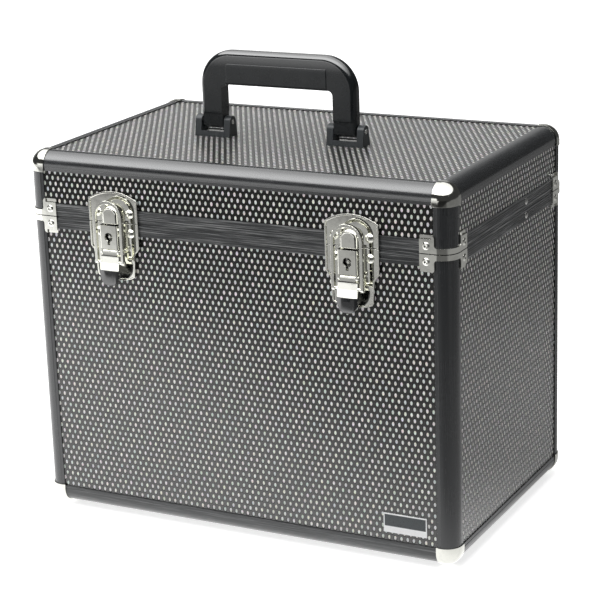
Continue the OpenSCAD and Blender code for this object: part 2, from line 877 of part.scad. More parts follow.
module body_latch_rivets() { color(chrome) latch_rivets(-1); }
module lid_latch_rivets() { color(chrome) latch_rivets(1); }

// Base plate of each latch, with the fixed post that the key turns on
module latch_base_plates() {
  color(chrome)
    for (s = [-1, 1]) {
      difference() {
        at_latch(s) latch_plate(true);
        latch_rivet_spots(-1) rivet_bore(skin_t, plate_t);
      }
      at_latch(s) translate([0, -keyhole_drop, 0]) cylinder(h = lock_reach - lock_wall, r = post_r);
    }
}

// Catch plate with its hook, a rounded boss with an arched top
module catch_plates() {
  color(chrome)
    for (s = [-1, 1]) {
      difference() {
        at_latch(s) latch_plate(false);
        latch_rivet_spots(1) rivet_bore(skin_t, plate_t);
      }
      at_latch(s) hook();
    }
}

module hook() {
  arch_y = hook_h - hook_w / 2;
  low = rim_gap + brace_gap;
  translate([0, arch_y, 0])
    intersection() {
      rotate_extrude() hook_half();
      translate([-hook_w, low + 1 - arch_y, -1]) cube([2 * hook_w, 2 * hook_h, hook_reach + 2]);
    }
  translate([0, arch_y, 0])
    rotate([90, 0, 0])
      linear_extrude(arch_y - low) {
        hook_half();
        mirror([1, 0]) hook_half();
      }
}

// Half of the section of the hook, with a rounded front edge
module hook_half() {
  soft = 2.4;
  square([hook_w / 2 - soft, hook_reach]);
  square([hook_w / 2, hook_reach - soft]);
  translate([hook_w / 2 - soft, hook_reach - soft])
    intersection() {
      circle(soft);
      square(soft);
    }
}

// Lock case: a folded cover with a keyhole, and two ears that carry the lever pin
module lock_cases() {
  color(chrome) for (s = [-1, 1]) at_latch(s) lock_case();
}

module lock_case() {
  soft = 1.2;
  low = -lock_len;
  inner = lock_w / 2 - lock_wall;
  difference() {
    union() {
      translate([0, -lock_gap, plate_t])
        rotate([90, 0, 0])
          linear_extrude(lock_len - lock_gap) lock_section(lock_w / 2, lock_reach - plate_t, soft);
      x_extrude(-lock_w / 2, lock_w / 2) ear_outline();
    }
    translate([-inner, low - 10, plate_t - 1])
      cube([2 * inner, 10 + lock_len - lock_gap - lock_wall, lock_reach - lock_wall - plate_t + 1]);
    translate([-inner, low - 10, plate_t]) cube([2 * inner, 10, lock_reach]);
    translate([0, -keyhole_drop, 0]) cylinder(h = lock_reach + 1, r = keyhole_r);
    translate([-1.1, -keyhole_drop - keyhole_r - 2.4, 0]) cube([2.2, keyhole_r + 2.4, lock_reach + 1]);
    translate([0, -lever_pin_drop, lever_pin_out]) x_rod(-lock_w, lock_w, lever_pin_r + pin_fit);
  }
}

// Section of the lock case, rounded at its two front edges
module lock_section(half, reach, soft) {
  translate([-half, 0]) square([2 * half, reach - soft]);
  translate([soft - half, 0]) square([2 * (half - soft), reach]);
  for (s = [-1, 1]) translate([s * (half - soft), reach - soft]) circle(soft);
}

// Side view of an ear of the lock case
module ear_outline() {
  ear = barrel_r + 0.2;
  translate([-lever_pin_drop, lever_pin_out]) circle(ear);
  translate([-lever_pin_drop, lever_pin_out - ear]) square([lever_pin_drop - lock_len + eps, 2 * ear]);
}

module lever_pins() {
  head_t = 0.5;
  color(steel)
    for (s = [-1, 1])
      at_latch(s)
        translate([0, -lever_pin_drop, lever_pin_out]) {
          x_rod(-lock_w / 2 - head_t, lock_w / 2 + head_t, lever_pin_r);
          for (t = [0, 1])
            translate([t * (lock_w + head_t) - lock_w / 2 - head_t, 0, 0]) x_rod(0, head_t, lever_pin_r + 0.5);
        }
}

// Front of the lever sheet at distance b below the lever pin
function sheet_out(b) = lever_pin_out + barrel_r + finger_flare * pow(b / finger_len, 2);

// Side view of the lever sheet from b0 to b1 below the pin, grown by grow
module sheet_outline(b0, b1, grow = 0) {
  step = (b1 - b0) / 8;
  polygon(concat(
    [for (i = [0 : 8]) [-lever_pin_drop - b0 - i * step, sheet_out(b0 + i * step) + grow]],
    [for (i = [8 : -1 : 0]) [-lever_pin_drop - b0 - i * step, sheet_out(b0 + i * step) - lever_skin - grow]]
  ));
}

// Front view of the finger of the lever, which widens towards its tip
module finger_outline() {
  low = tip_w / 2 - 0.4;
  polygon(concat(
    [for (t = [0 : 0.1 : 1]) [lock_w / 2 + (low - lock_w / 2) * t * t, cheek_top - (finger_len - lever_neck) * t]],
    [for (t = [1 : -0.1 : 0]) [-lock_w / 2 - (low - lock_w / 2) * t * t, cheek_top - (finger_len - lever_neck) * t]]
  ));
}

// Lever: a rolled barrel, a tongue that the bolt blocks, and a channelled finger
module lever() {
  barrel_w = lock_w - 2 * lock_wall - 2 * run_gap;
  cheek_low = -lever_pin_drop - finger_len + 2.4;
  cheek_back = bail_pivot_p - trunnion_r - 1;
  difference() {
    union() {
      translate([0, -lever_pin_drop, lever_pin_out]) x_rod(-barrel_w / 2, barrel_w / 2, barrel_r);
      translate([-tongue_side, -lever_pin_drop, tongue_out]) cube([2 * tongue_side, tongue_len, tongue_t]);
      x_extrude(-barrel_w / 2, barrel_w / 2) sheet_outline(0, lever_neck + 0.5);
      intersection() {
        x_extrude(-tip_w, tip_w) sheet_outline(lever_neck, finger_len);
        linear_extrude(2 * tip_reach) finger_outline();
      }
      x_extrude(-tang_w / 2, tang_w / 2) sheet_outline(finger_len - 1, finger_len + tang_len);
      for (s = [-1, 1])
        translate([s * (lock_w - lever_side) / 2, 0, 0])
          x_extrude(-lever_side / 2, lever_side / 2)
            polygon([
              [cheek_top, sheet_out(lever_neck) - eps],
              [cheek_top, cheek_back + 1],
              [cheek_top - 1, cheek_back],
              [cheek_low + 2, cheek_back],
              [cheek_low, sheet_out(finger_len) - 2 * lever_skin],
              [cheek_low, sheet_out(finger_len - 2.4) - eps],
              [bail_pivot_y, sheet_out(bail_drop) - eps]
            ]);
    }
    translate([0, -lever_pin_drop, lever_pin_out]) x_rod(-lock_w, lock_w, lever_pin_r + pin_fit);
    translate([0, bail_pivot_y, bail_pivot_p]) {
      x_rod(lock_w / 2 - lever_side - 1, lock_w, trunnion_r + pin_fit);
      x_rod(-lock_w, lever_side + 1 - lock_w / 2, trunnion_r + pin_fit);
    }
  }
}

module left_lever() { color(chrome) at_latch(-1) lever(); }
module right_lever() { color(chrome) at_latch(1) lever(); }

// Plastic tip of the lever: rounded in front view, side view and plan
module lever_tip() {
  half = tip_w / 2;
  crown = 1.3 * tip_w;
  low_len = tip_len - 1;
  difference() {
    intersection() {
      linear_extrude(2 * tip_reach)
        polygon(concat(
          [[half, tip_y], [half, tip_y - 1]],
          [for (a = [10 : 10 : 170]) [half * cos(a), tip_y - 1 - low_len * sin(a)]],
          [[-half, tip_y - 1], [-half, tip_y]]
        ));
      x_extrude(-tip_w, tip_w)
        polygon(concat(
          [[tip_y, tip_back]],
          [for (t = [0 : 0.1 : 1])
            [tip_y - tip_len * t, tip_back + 0.6 + (tip_thick - 0.6) * sqrt(1 - pow(t, 4)) * (0.9 + 0.1 * sin(180 * t))]],
          [[tip_y - tip_len, tip_back]]
        ));
      translate([0, tip_y, tip_reach - crown]) rotate([90, 0, 0]) cylinder(h = tip_len, r = crown);
    }
    x_extrude(-tang_w / 2 - pin_fit, tang_w / 2 + pin_fit)
      sheet_outline(finger_len - 1, finger_len + tang_len + pin_fit, pin_fit);
  }
}

module left_lever_tip() { color(plastic) at_latch(-1) lever_tip(); }
module right_lever_tip() { color(plastic) at_latch(1) lever_tip(); }

// Bail: a strip bent to an arch, with eyes and inward ends that turn in the lever
module bail() {
  arch_y = bail_crown - bail_w / 2;
  eye_r = trunnion_r + 0.7;
  translate([0, 0, bail_back])
    linear_extrude(bail_depth)
      difference() {
        union() {
          translate([0, arch_y]) circle(bail_w / 2);
          translate([-bail_w / 2, bail_pivot_y]) square([bail_w, arch_y - bail_pivot_y]);
        }
        translate([0, arch_y]) circle(bail_inner);
        translate([-bail_inner, bail_pivot_y - 1]) square([2 * bail_inner, arch_y - bail_pivot_y + 1]);
      }
  translate([0, bail_pivot_y, bail_pivot_p])
    for (s = [-1, 1])
      flip([1, 0, 0], s < 0) {
        x_rod(bail_inner, bail_w / 2, eye_r);
        x_rod(lock_w / 2 - lever_side - run_gap, bail_inner + eps, trunnion_r);
      }
}

module left_bail() { color(chrome) at_latch(-1) bail(); }
module right_bail() { color(chrome) at_latch(1) bail(); }

// Lock bolt: slides down behind the tongue of the lever when the key is turned
module lock_bolt() {
  slot = post_r + 0.3;
  back = plate_t + bolt_fit;
  difference() {
    translate([-bolt_w / 2, bolt_low, back]) cube([bolt_w, bolt_high - bolt_low, bolt_front - back]);
    translate([0, -keyhole_drop, 0]) cylinder(h = lock_reach, r = slot);
    translate([-slot, -keyhole_drop, 0]) cube([2 * slot, bolt_travel, lock_reach]);
    translate([0, bolt_travel - keyhole_drop, 0]) cylinder(h = lock_reach, r = slot);
    translate([-slot, bolt_low + 1, bolt_front - 2]) cube([2 * slot, -keyhole_drop - bolt_low - 1, 3]);
  }
}

module left_lock_bolt() { color(steel) at_latch(-1) lock_bolt(); }
module right_lock_bolt() { color(steel) at_latch(1) lock_bolt(); }

// Handle bracket

screw_r = 1.5;
screw_head_r = 2.9;

module at_handle(z) translate([handle_x, handle_y, z]) children();

module bracket_spots() for (s = [-1, 1]) at_handle(panel_z) translate([s * leg_x, 0, 0]) children();

module bracket_screw_spots()
  for (t = [-1, 1]) bracket_spots() translate([t * leg_w / 4, 0, 0]) children();

// Side view of a bracket ear: sloping sides that run into the round top
module ear_side() {
  rise = pin_z - panel_z;
  half = bracket_d / 2;
  away = sqrt(half * half + rise * rise);
  lean = acos(ear_r / away) - atan2(rise, half);
  translate([0, rise]) circle(ear_r);
  polygon([
    [-half, 0], [half, 0],
    [ear_r * cos(lean), rise + ear_r * sin(lean)],
    [-ear_r * cos(lean), rise + ear_r * sin(lean)]
  ]);
}

// Side view of the sills in front of and behind the handle leg
module sill_side() {
  half = bracket_d / 2;
  difference() {
    intersection() {
      translate([-half, 0]) square([bracket_d, sill_h]);
      ear_side();
    }
    translate([2 - half, bracket_floor]) square([bracket_d - 4, sill_h]);
  }
}

module handle_brackets() {
  color(plastic)
    bracket_spots()
      difference() {
        union() {
          x_extrude(-bracket_w / 2, bracket_w / 2) sill_side();
          for (s = [-1, 1])
            translate([s * (bracket_w - ear_t) / 2, 0, 0]) x_extrude(-ear_t / 2, ear_t / 2) ear_side();
        }
        translate([0, 0, pin_z - panel_z]) x_rod(-bracket_w, bracket_w, handle_pin_r + pin_fit);
        for (t = [-1, 1])
          translate([t * leg_w / 4, 0, -1]) cylinder(h = bracket_floor + 2, r = screw_r + pin_fit);
      }
}

// Steel plate under the screw heads on the floor of each bracket
module bracket_plates() {
  color(steel)
    bracket_spots()
      difference() {
        translate([-leg_w / 2, 2.2 - bracket_d / 2, bracket_floor]) cube([leg_w, bracket_d - 4.4, plate_thin]);
        for (t = [-1, 1])
          translate([t * leg_w / 4, 0, 0]) {
            cylinder(h = bracket_floor + 2, r = screw_r + pin_fit);
            translate([0, 0, bracket_floor + plate_thin - 0.6]) cylinder(h = 1, r1 = screw_head_r - 0.6, r2 = screw_head_r + 0.4);
          }
      }
}

module bracket_screws() {
  color(steel)
    bracket_screw_spots() {
      translate([0, 0, -board_t - 1]) cylinder(h = board_t + 1 + bracket_floor + plate_thin, r = screw_r);
      translate([0, 0, bracket_floor + plate_thin - 0.6 + pin_fit])
        cylinder(h = 0.6 - pin_fit, r1 = screw_head_r - 0.6, r2 = screw_head_r - pin_fit);
    }
}

module handle_pins() {
  color(steel)
    for (s = [-1, 1])
      at_handle(pin_z)
        translate([s * leg_x, 0, 0]) x_rod(-bracket_w / 2 - 0.2, bracket_w / 2 + 0.2, handle_pin_r);
}

// Rounded section of the outer edge of the handle, from its middle plane outwards
module rim_half(reach) {
  half = handle_d / 2;
  translate([0, -half]) square([reach - handle_round, handle_d]);
  translate([0, handle_round - half]) square([reach, handle_d - 2 * handle_round]);
  for (s = [-1, 1])
    translate([reach - handle_round, s * (half - handle_round)]) circle(handle_round);
}

// The handle before its window is cut: a slab with rounded outer edges
module handle_slab() {
  flat = handle_w / 2 - handle_r;
  bend_z = crown_z - handle_r;
  low = -leg_end_r;
  // crown
  translate([-flat, 0, bend_z])
    rotate([0, 90, 0]) rotate([0, 0, 180]) linear_extrude(2 * flat) rim_half(handle_r);
  // shoulders
  for (s = [-1, 1])
    flip([1, 0, 0], s < 0)
      translate([flat, 0, bend_z])
        rotate([90, 0, 0])
          intersection() {
            rotate_extrude() rim_half(handle_r);
            translate([0, 0, -handle_d]) cube([handle_r + 1, handle_r + 1, 2 * handle_d]);
          }
  // legs
  for (s = [-1, 1])
    flip([1, 0, 0], s < 0)
      translate([flat, 0, low]) linear_extrude(bend_z - low) rim_half(handle_r);
}

// Side view of the space that a leg keeps to: full depth above, a round end round the pin
module leg_side() {
  half = handle_d / 2;
  neck = leg_end_r + 1.6;
  circle(leg_end_r);
  translate([-leg_end_r, 0]) square([2 * leg_end_r, neck + 1]);
  translate([-half, neck + 1]) square([handle_d, handle_h]);
  polygon([
    [-leg_end_r, neck], [leg_end_r, neck],
    [half, neck + 1], [-half, neck + 1]
  ]);
}

// Window under the grip bar
module handle_window() {
  half = handle_w / 2 - leg_w;
  soft = 4;
  translate([-half + soft, -leg_end_r - 1]) square([2 * (half - soft), grip_under + leg_end_r + 1]);
  translate([-half, -leg_end_r - 1]) square([2 * half, grip_under + leg_end_r + 1 - soft]);
  for (s = [-1, 1]) translate([s * (half - soft), grip_under - soft]) circle(soft);
}

// Grip pad: a saddle round the lower half of the grip bar
module pad_saddle(grow) {
  half = handle_d / 2 + pad_out;
  soft = 2;
  x_extrude(-pad_len / 2 - grow, pad_len / 2 + grow)
    difference() {
      union() {
        translate([-half, grip_under - pad_out + soft]) square([2 * half, pad_h - soft + grow]);
        translate([soft - half, grip_under - pad_out]) square([2 * (half - soft), pad_h]);
        for (s = [-1, 1]) translate([s * (half - soft), grip_under - pad_out + soft]) circle(soft);
      }
      translate([pad_t + grow - half, grip_under - pad_out + pad_t + grow])
        square([2 * (half - pad_t - grow), pad_h + 2]);
    }
}

module handle_frame() {
  color(plastic)
    at_handle(pin_z)
      difference() {
        handle_solid();
        pad_saddle(pin_fit);
        x_rod(-handle_w, handle_w, handle_pin_r + pin_fit);
      }
}

// Slab of the handle with its window and its leg ends
module handle_solid()
  difference() {
    intersection() {
      handle_slab();
      x_extrude(-handle_w, handle_w) leg_side();
    }
    translate([0, handle_d, 0]) rotate([90, 0, 0]) linear_extrude(2 * handle_d) handle_window();
  }

module grip_pad() { color(plastic) at_handle(pin_z) pad_saddle(0); }

// Stay pins
module stay_spot(level, s) on_side(s, stay_y, part_z + level * stay_pin_z) children();

module stay_pin_bore() translate([0, 0, -lining_depth - 1]) cylinder(h = lining_depth + 2, r = stay_pin_r + pin_fit);

// Pin with a small outer head, a shoulder inside the lining and a washer head
module stay_pin() {
  cap = 1;
  inner = stay_depth + stay_t + run_gap;
  translate([0, 0, -inner - cap]) cylinder(h = inner + cap, r = stay_pin_r);
  dome(stay_head_r, cap);
  translate([0, 0, run_gap - stay_depth]) cylinder(h = stay_depth - lining_depth - run_gap, r = stay_pin_r + 1.2);
  translate([0, 0, -inner - cap]) cylinder(h = cap, r = stay_pin_r + 1.8);
}

module body_stay_pins() { color(steel) for (s = [-1, 1]) stay_spot(-1, s) stay_pin(); }
module lid_stay_pins() { color(steel) for (s = [-1, 1]) stay_spot(1, s) stay_pin(); }

// Slotted stay arm, hanging from its lid pin; the body pin runs in the slot
module stay_arm(s) {
  slot_r = stay_pin_r + slot_gap;
  stay_spot(1, s)
    translate([0, 0, -stay_depth - stay_t])
      linear_extrude(stay_t)
        difference() {
          union() {
            circle(stay_w / 2);
            translate([-stay_w / 2, -stay_len]) square([stay_w, stay_len]);
            translate([0, -stay_len]) circle(stay_w / 2);
          }
          circle(stay_pin_r + pin_fit);
          translate([-slot_r, -stay_open]) square([2 * slot_r, stay_open - stay_closed]);
          translate([0, -stay_closed]) circle(slot_r);
          translate([0, -stay_open]) circle(slot_r);
        }
}

module left_stay() { color(steel) stay_arm(-1); }
module right_stay() { color(steel) stay_arm(1); }

bottom_panel();
body_front_panel();
body_back_panel();
body_left_panel();
body_right_panel();
bottom_long_edges();
bottom_side_edges();
body_corner_posts();
body_long_rims();
body_side_rims();
bottom_corner_caps();
body_braces();
body_brace_rivets();
body_lining();
feet();
foot_screws();
body_hinge_leaves();
hinge_pins();
body_hinge_rivets();
latch_base_plates();
lock_cases();
lever_pins();
body_latch_rivets();
body_stay_pins();
top_panel();
lid_front_panel();
lid_back_panel();
lid_left_panel();
lid_right_panel();
top_long_edges();
top_side_edges();
lid_corner_posts();
lid_long_rims();
lid_side_rims();
top_corner_caps();
lid_braces();
lid_brace_rivets();
lid_lining();
lid_hinge_leaves();
lid_hinge_rivets();
catch_plates();
lid_latch_rivets();
lid_stay_pins();
handle_brackets();
bracket_plates();
bracket_screws();
handle_pins();
handle_frame();
grip_pad();
left_lever();
right_lever();
left_lever_tip();
right_lever_tip();
left_bail();
right_bail();
left_lock_bolt();
right_lock_bolt();
left_stay();
right_stay();
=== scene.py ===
"""Vanity case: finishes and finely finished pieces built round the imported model."""

import json
import math

import bpy
from bpy.props import FloatProperty, FloatVectorProperty, PointerProperty
from mathutils import Matrix, Vector

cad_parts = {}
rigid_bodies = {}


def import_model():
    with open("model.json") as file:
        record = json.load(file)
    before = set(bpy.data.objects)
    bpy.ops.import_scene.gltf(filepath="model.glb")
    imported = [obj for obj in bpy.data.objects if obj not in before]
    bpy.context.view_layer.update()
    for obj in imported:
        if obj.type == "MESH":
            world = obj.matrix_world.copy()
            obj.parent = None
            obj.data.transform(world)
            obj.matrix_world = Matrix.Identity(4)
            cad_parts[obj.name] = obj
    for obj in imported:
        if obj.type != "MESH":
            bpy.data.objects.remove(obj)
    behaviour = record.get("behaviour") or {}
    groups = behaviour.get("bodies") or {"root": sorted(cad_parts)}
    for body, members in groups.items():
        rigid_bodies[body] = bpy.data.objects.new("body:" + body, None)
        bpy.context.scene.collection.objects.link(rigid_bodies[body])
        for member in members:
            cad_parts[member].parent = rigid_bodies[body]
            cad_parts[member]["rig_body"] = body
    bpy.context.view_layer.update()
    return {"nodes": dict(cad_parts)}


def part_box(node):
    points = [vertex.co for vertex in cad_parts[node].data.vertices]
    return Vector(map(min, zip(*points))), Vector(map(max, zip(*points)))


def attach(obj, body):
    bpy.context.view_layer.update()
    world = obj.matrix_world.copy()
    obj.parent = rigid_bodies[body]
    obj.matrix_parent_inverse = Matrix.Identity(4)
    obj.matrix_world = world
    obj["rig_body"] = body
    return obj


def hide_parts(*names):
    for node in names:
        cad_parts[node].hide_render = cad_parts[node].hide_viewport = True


bl_info = {
    "name": "Vanity Case",
    "version": (1, 0, 0),
    "blender": (4, 5, 0),
    "location": "3D View > Sidebar > Vanity Case",
    "description": "Builds the finishes, hardware and handle of a dotted vanity case",
    "category": "Add Mesh",
}

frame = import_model()
MM = 0.001

# Front face of the boards, in metres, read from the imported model
FACE_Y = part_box("body_front_panel")[0].y

# Middle of the first dot at the upper left of the front, across and up, in millimetres
FIRST_DOT = (-155.4, 273.0)
# Pitch in a row, pitch of the rows and corner of a dot's cell on the other boards, in millimetres
SIDE_DOTS = (5.0, 4.41, (0.0, 1.0))
FLAT_DOTS = (4.81, 4.35, (0.0, 0.0))

# Clean-up and shading of the copied meshes: metres and radians
MERGE_DISTANCE = 2e-6
FLAT_ANGLE = math.radians(0.6)
BEVEL_ANGLE = math.radians(28)
SMOOTH_ANGLE = math.radians(32)

BADGE_THICKNESS = 0.8 * MM
BADGE_BEVEL = 0.2 * MM
# The badge's border ends between these distances from its edge, in millimetres
BADGE_BORDER = (0.75, 0.95)
# Top of the badge's bright lower band, as a part of half its height
BADGE_BAND = -0.34

FLOOR_SIZE = 16
FLOOR_GREY = (0.84, 0.84, 0.84, 1)
ROOM_GREY = (0.16, 0.16, 0.16, 1)
# Area lights: name, place, target, width and height in metres
OVERHEAD = ("Overhead", (-0.45, -0.15, 1.75), (0, 0, 0.15), 2.6, 2.4)
FRONT_FILL = ("Front fill", (-0.95, -1.9, 0.35), (0, 0, 0.18), 0.9, 0.7)
CAMERA_TARGET = Vector((-2.3, 3.35, 156.9)) * MM


# ---------------------------------------------------------------- settings


class CaseFinish(bpy.types.PropertyGroup):
    """Colours and pattern sizes of the case"""

    film: FloatVectorProperty(
        name="Film", description="Colour of the film between the dots",
        subtype="COLOR", default=(0.005, 0.005, 0.0046),
    )
    dot: FloatVectorProperty(
        name="Dots", description="Colour of the glitter dots",
        subtype="COLOR", default=(0.78, 0.78, 0.75),
    )
    dot_pitch: FloatProperty(
        name="Dot pitch", description="Distance of two dots in a row on the front",
        subtype="DISTANCE", unit="LENGTH", default=0.00491,
    )
    dot_row: FloatProperty(
        name="Row pitch", description="Distance of two rows of dots on the front",
        subtype="DISTANCE", unit="LENGTH", default=0.00444,
    )
    dot_width: FloatProperty(
        name="Dot width", description="Width of one dot",
        subtype="DISTANCE", unit="LENGTH", default=0.00205,
    )
    dot_height: FloatProperty(
        name="Dot height", description="Height of one dot",
        subtype="DISTANCE", unit="LENGTH", default=0.0033,
    )
    profile: FloatVectorProperty(
        name="Profiles", description="Colour of the anodised profiles",
        subtype="COLOR", default=(0.02, 0.0215, 0.023),
    )
    chrome: FloatVectorProperty(
        name="Chrome", description="Colour of the plated fittings",
        subtype="COLOR", default=(0.86, 0.86, 0.80),
    )
    steel: FloatVectorProperty(
        name="Steel", description="Colour of pins, screws and stays",
        subtype="COLOR", default=(0.62, 0.62, 0.60),
    )
    plastic: FloatVectorProperty(
        name="Plastic", description="Colour of the handle and its brackets",
        subtype="COLOR", default=(0.016, 0.019, 0.021),
    )
    cloth: FloatVectorProperty(
        name="Lining", description="Colour of the lining",
        subtype="COLOR", default=(0.012, 0.012, 0.013),
    )


class CaseSizes(bpy.types.PropertyGroup):
    """Sizes of edges and of the small pieces"""

    profile_bevel: FloatProperty(
        name="Profile edges", description="Rounding of the profile edges",
        subtype="DISTANCE", unit="LENGTH", default=0.00015,
    )
    metal_bevel: FloatProperty(
        name="Metal edges", description="Rounding of pressed metal edges",
        subtype="DISTANCE", unit="LENGTH", default=0.00025,
    )
    plastic_bevel: FloatProperty(
        name="Plastic edges", description="Rounding of moulded edges",
        subtype="DISTANCE", unit="LENGTH", default=0.0005,
    )
    badge_width: FloatProperty(
        name="Badge width", description="Width of the badge plate",
        subtype="DISTANCE", unit="LENGTH", default=0.0345,
    )
    badge_height: FloatProperty(
        name="Badge height", description="Height of the badge plate",
        subtype="DISTANCE", unit="LENGTH", default=0.015,
    )
    badge_x: FloatProperty(
        name="Badge place", description="Distance of the badge right of the middle",
        subtype="DISTANCE", unit="LENGTH", default=0.13525,
    )
    badge_z: FloatProperty(
        name="Badge level", description="Height of the middle of the badge",
        subtype="DISTANCE", unit="LENGTH", default=0.0315,
    )


class StageSettings(bpy.types.PropertyGroup):
    """Camera and light"""

    azimuth: FloatProperty(
        name="Azimuth", description="Camera angle right of the front",
        subtype="ANGLE", default=math.radians(27.46),
    )
    elevation: FloatProperty(
        name="Elevation", description="Camera angle above level",
        subtype="ANGLE", default=math.radians(16.80),
    )
    roll: FloatProperty(
        name="Roll", description="Turn of the image",
        subtype="ANGLE", default=math.radians(-1.92),
    )
    distance: FloatProperty(
        name="Distance", description="Camera distance from its target",
        subtype="DISTANCE", unit="LENGTH", default=1.605,
    )
    lens: FloatProperty(
        name="Lens", description="Focal length in millimetres",
        unit="CAMERA", default=122.4,
    )
    overhead: FloatProperty(
        name="Overhead", description="Power of the overhead soft box",
        unit="POWER", default=60.0,
    )
    fill: FloatProperty(
        name="Front fill", description="Power of the soft box at the front left",
        unit="POWER", default=6.0,
    )


# ---------------------------------------------------------------- node helpers


def node_tree(owner):
    """Clears a material or a world and gives its node tree."""
    owner.use_nodes = True
    tree = owner.node_tree
    tree.nodes.clear()
    return tree


def link(tree, source, target):
    """Joins a socket, or sets a value, on a target socket."""
    if isinstance(source, bpy.types.NodeSocket):
        tree.links.new(source, target)
    else:
        target.default_value = source


def math_node(tree, operation, a, b=None, clamp=False):
    """One Math node; returns its output."""
    node = tree.nodes.new("ShaderNodeMath")
    node.operation = operation
    node.use_clamp = clamp
    for socket, value in zip(node.inputs, (a, b)):
        if value is not None:
            link(tree, value, socket)
    return node.outputs[0]


def plus(tree, a, b):
    """Sum of two values."""
    return math_node(tree, "ADD", a, b)


def minus(tree, a, b, clamp=False):
    """Difference of two values."""
    return math_node(tree, "SUBTRACT", a, b, clamp)


def times(tree, a, b):
    """Product of two values."""
    return math_node(tree, "MULTIPLY", a, b)


def over(tree, a, b):
    """Quotient of two values."""
    return math_node(tree, "DIVIDE", a, b)


def unsigned(tree, a):
    """A value without its sign."""
    return math_node(tree, "ABSOLUTE", a)


def radius(tree, a, b):
    """Distance of the point (a, b) from the origin."""
    return math_node(tree, "SQRT", plus(tree, times(tree, a, a), times(tree, b, b)))


def weighed(tree, a, share_a, b, share_b, base):
    """Shares of two values added to a base."""
    total = plus(tree, times(tree, a, share_a), times(tree, b, share_b))
    return plus(tree, total, base)


def ramp(tree, value, low, high, start=0.0, end=1.0):
    """Smooth step of a value: start at low, end at high; low may be the greater one."""
    node = tree.nodes.new("ShaderNodeMapRange")
    node.interpolation_type = "SMOOTHSTEP"
    for socket, number in zip(node.inputs, (value, low, high, start, end)):
        link(tree, number, socket)
    return node.outputs[0]


def mixed(tree, factor, a, b, blend="MIX"):
    """Colour between a and b, which are sockets or three values."""
    node = tree.nodes.new("ShaderNodeMix")
    node.data_type = "RGBA"
    node.blend_type = blend
    link(tree, factor, node.inputs["Factor"])
    for name, value in (("A", a), ("B", b)):
        socket = next(s for s in node.inputs if s.name == name and s.type == "RGBA")
        link(tree, value if isinstance(value, bpy.types.NodeSocket) else (*value, 1.0), socket)
    return next(s for s in node.outputs if s.type == "RGBA")


def toned(colour, factor):
    """A colour made darker or brighter."""
    return tuple(factor * c for c in colour)


def noise(tree, vector, scale, detail=2.0, rough=0.5):
    """Noise value at a vector."""
    node = tree.nodes.new("ShaderNodeTexNoise")
    node.inputs["Scale"].default_value = scale
    node.inputs["Detail"].default_value = detail
    node.inputs["Roughness"].default_value = rough
    tree.links.new(vector, node.inputs["Vector"])
    return node.outputs["Fac"]


def scaled(tree, vector, scale):
    """A vector scaled along each axis."""
    node = tree.nodes.new("ShaderNodeMapping")
    node.inputs["Scale"].default_value = scale
    tree.links.new(vector, node.inputs["Vector"])
    return node.outputs[0]


def stretched(tree, vector, axis, along, across):
    """A vector with one scale along an axis and another across it."""
    scale = [across] * 3
    scale[axis] = along
    return scaled(tree, vector, scale)


def split(tree, vector):
    """The X, Y and Z values of a vector, by name or number."""
    node = tree.nodes.new("ShaderNodeSeparateXYZ")
    tree.links.new(vector, node.inputs[0])
    return node.outputs


def coordinates(tree, kind="Object"):
    """Texture coordinates of one kind."""
    return tree.nodes.new("ShaderNodeTexCoord").outputs[kind]


def millimetres(tree):
    """Object coordinates in millimetres."""
    return scaled(tree, coordinates(tree), (1000, 1000, 1000))


def by_ray(tree, plain, mirrored, seen):
    """One shader for reflections, one for the camera and one for all other rays."""
    rays = tree.nodes.new("ShaderNodeLightPath")
    result = plain
    for kind, shader in (("Is Glossy Ray", mirrored), ("Is Camera Ray", seen)):
        choice = tree.nodes.new("ShaderNodeMixShader")
        tree.links.new(rays.outputs[kind], choice.inputs[0])
        tree.links.new(result, choice.inputs[1])
        tree.links.new(shader, choice.inputs[2])
        result = choice.outputs[0]
    return result


def new_group(name, inputs, outputs):
    """A shader node group with named sockets; inputs are (name, kind, default)."""
    group = bpy.data.node_groups.new(name, "ShaderNodeTree")
    for title, kind, value in inputs:
        socket = group.interface.new_socket(title, in_out="INPUT", socket_type=kind)
        if value is not None:
            socket.default_value = value
    for title, kind in outputs:
        group.interface.new_socket(title, in_out="OUTPUT", socket_type=kind)
    start = group.nodes.new("NodeGroupInput")
    end = group.nodes.new("NodeGroupOutput")
    return group, start.outputs, end.inputs


def use_group(tree, name, **values):
    """Places a shared group in a tree and sets its inputs by name."""
    node = tree.nodes.new("ShaderNodeGroup")
    node.node_tree = shared_group(name)
    for title, value in values.items():
        link(tree, value, node.inputs[title])
    return node.outputs


# ---------------------------------------------------------------- node groups


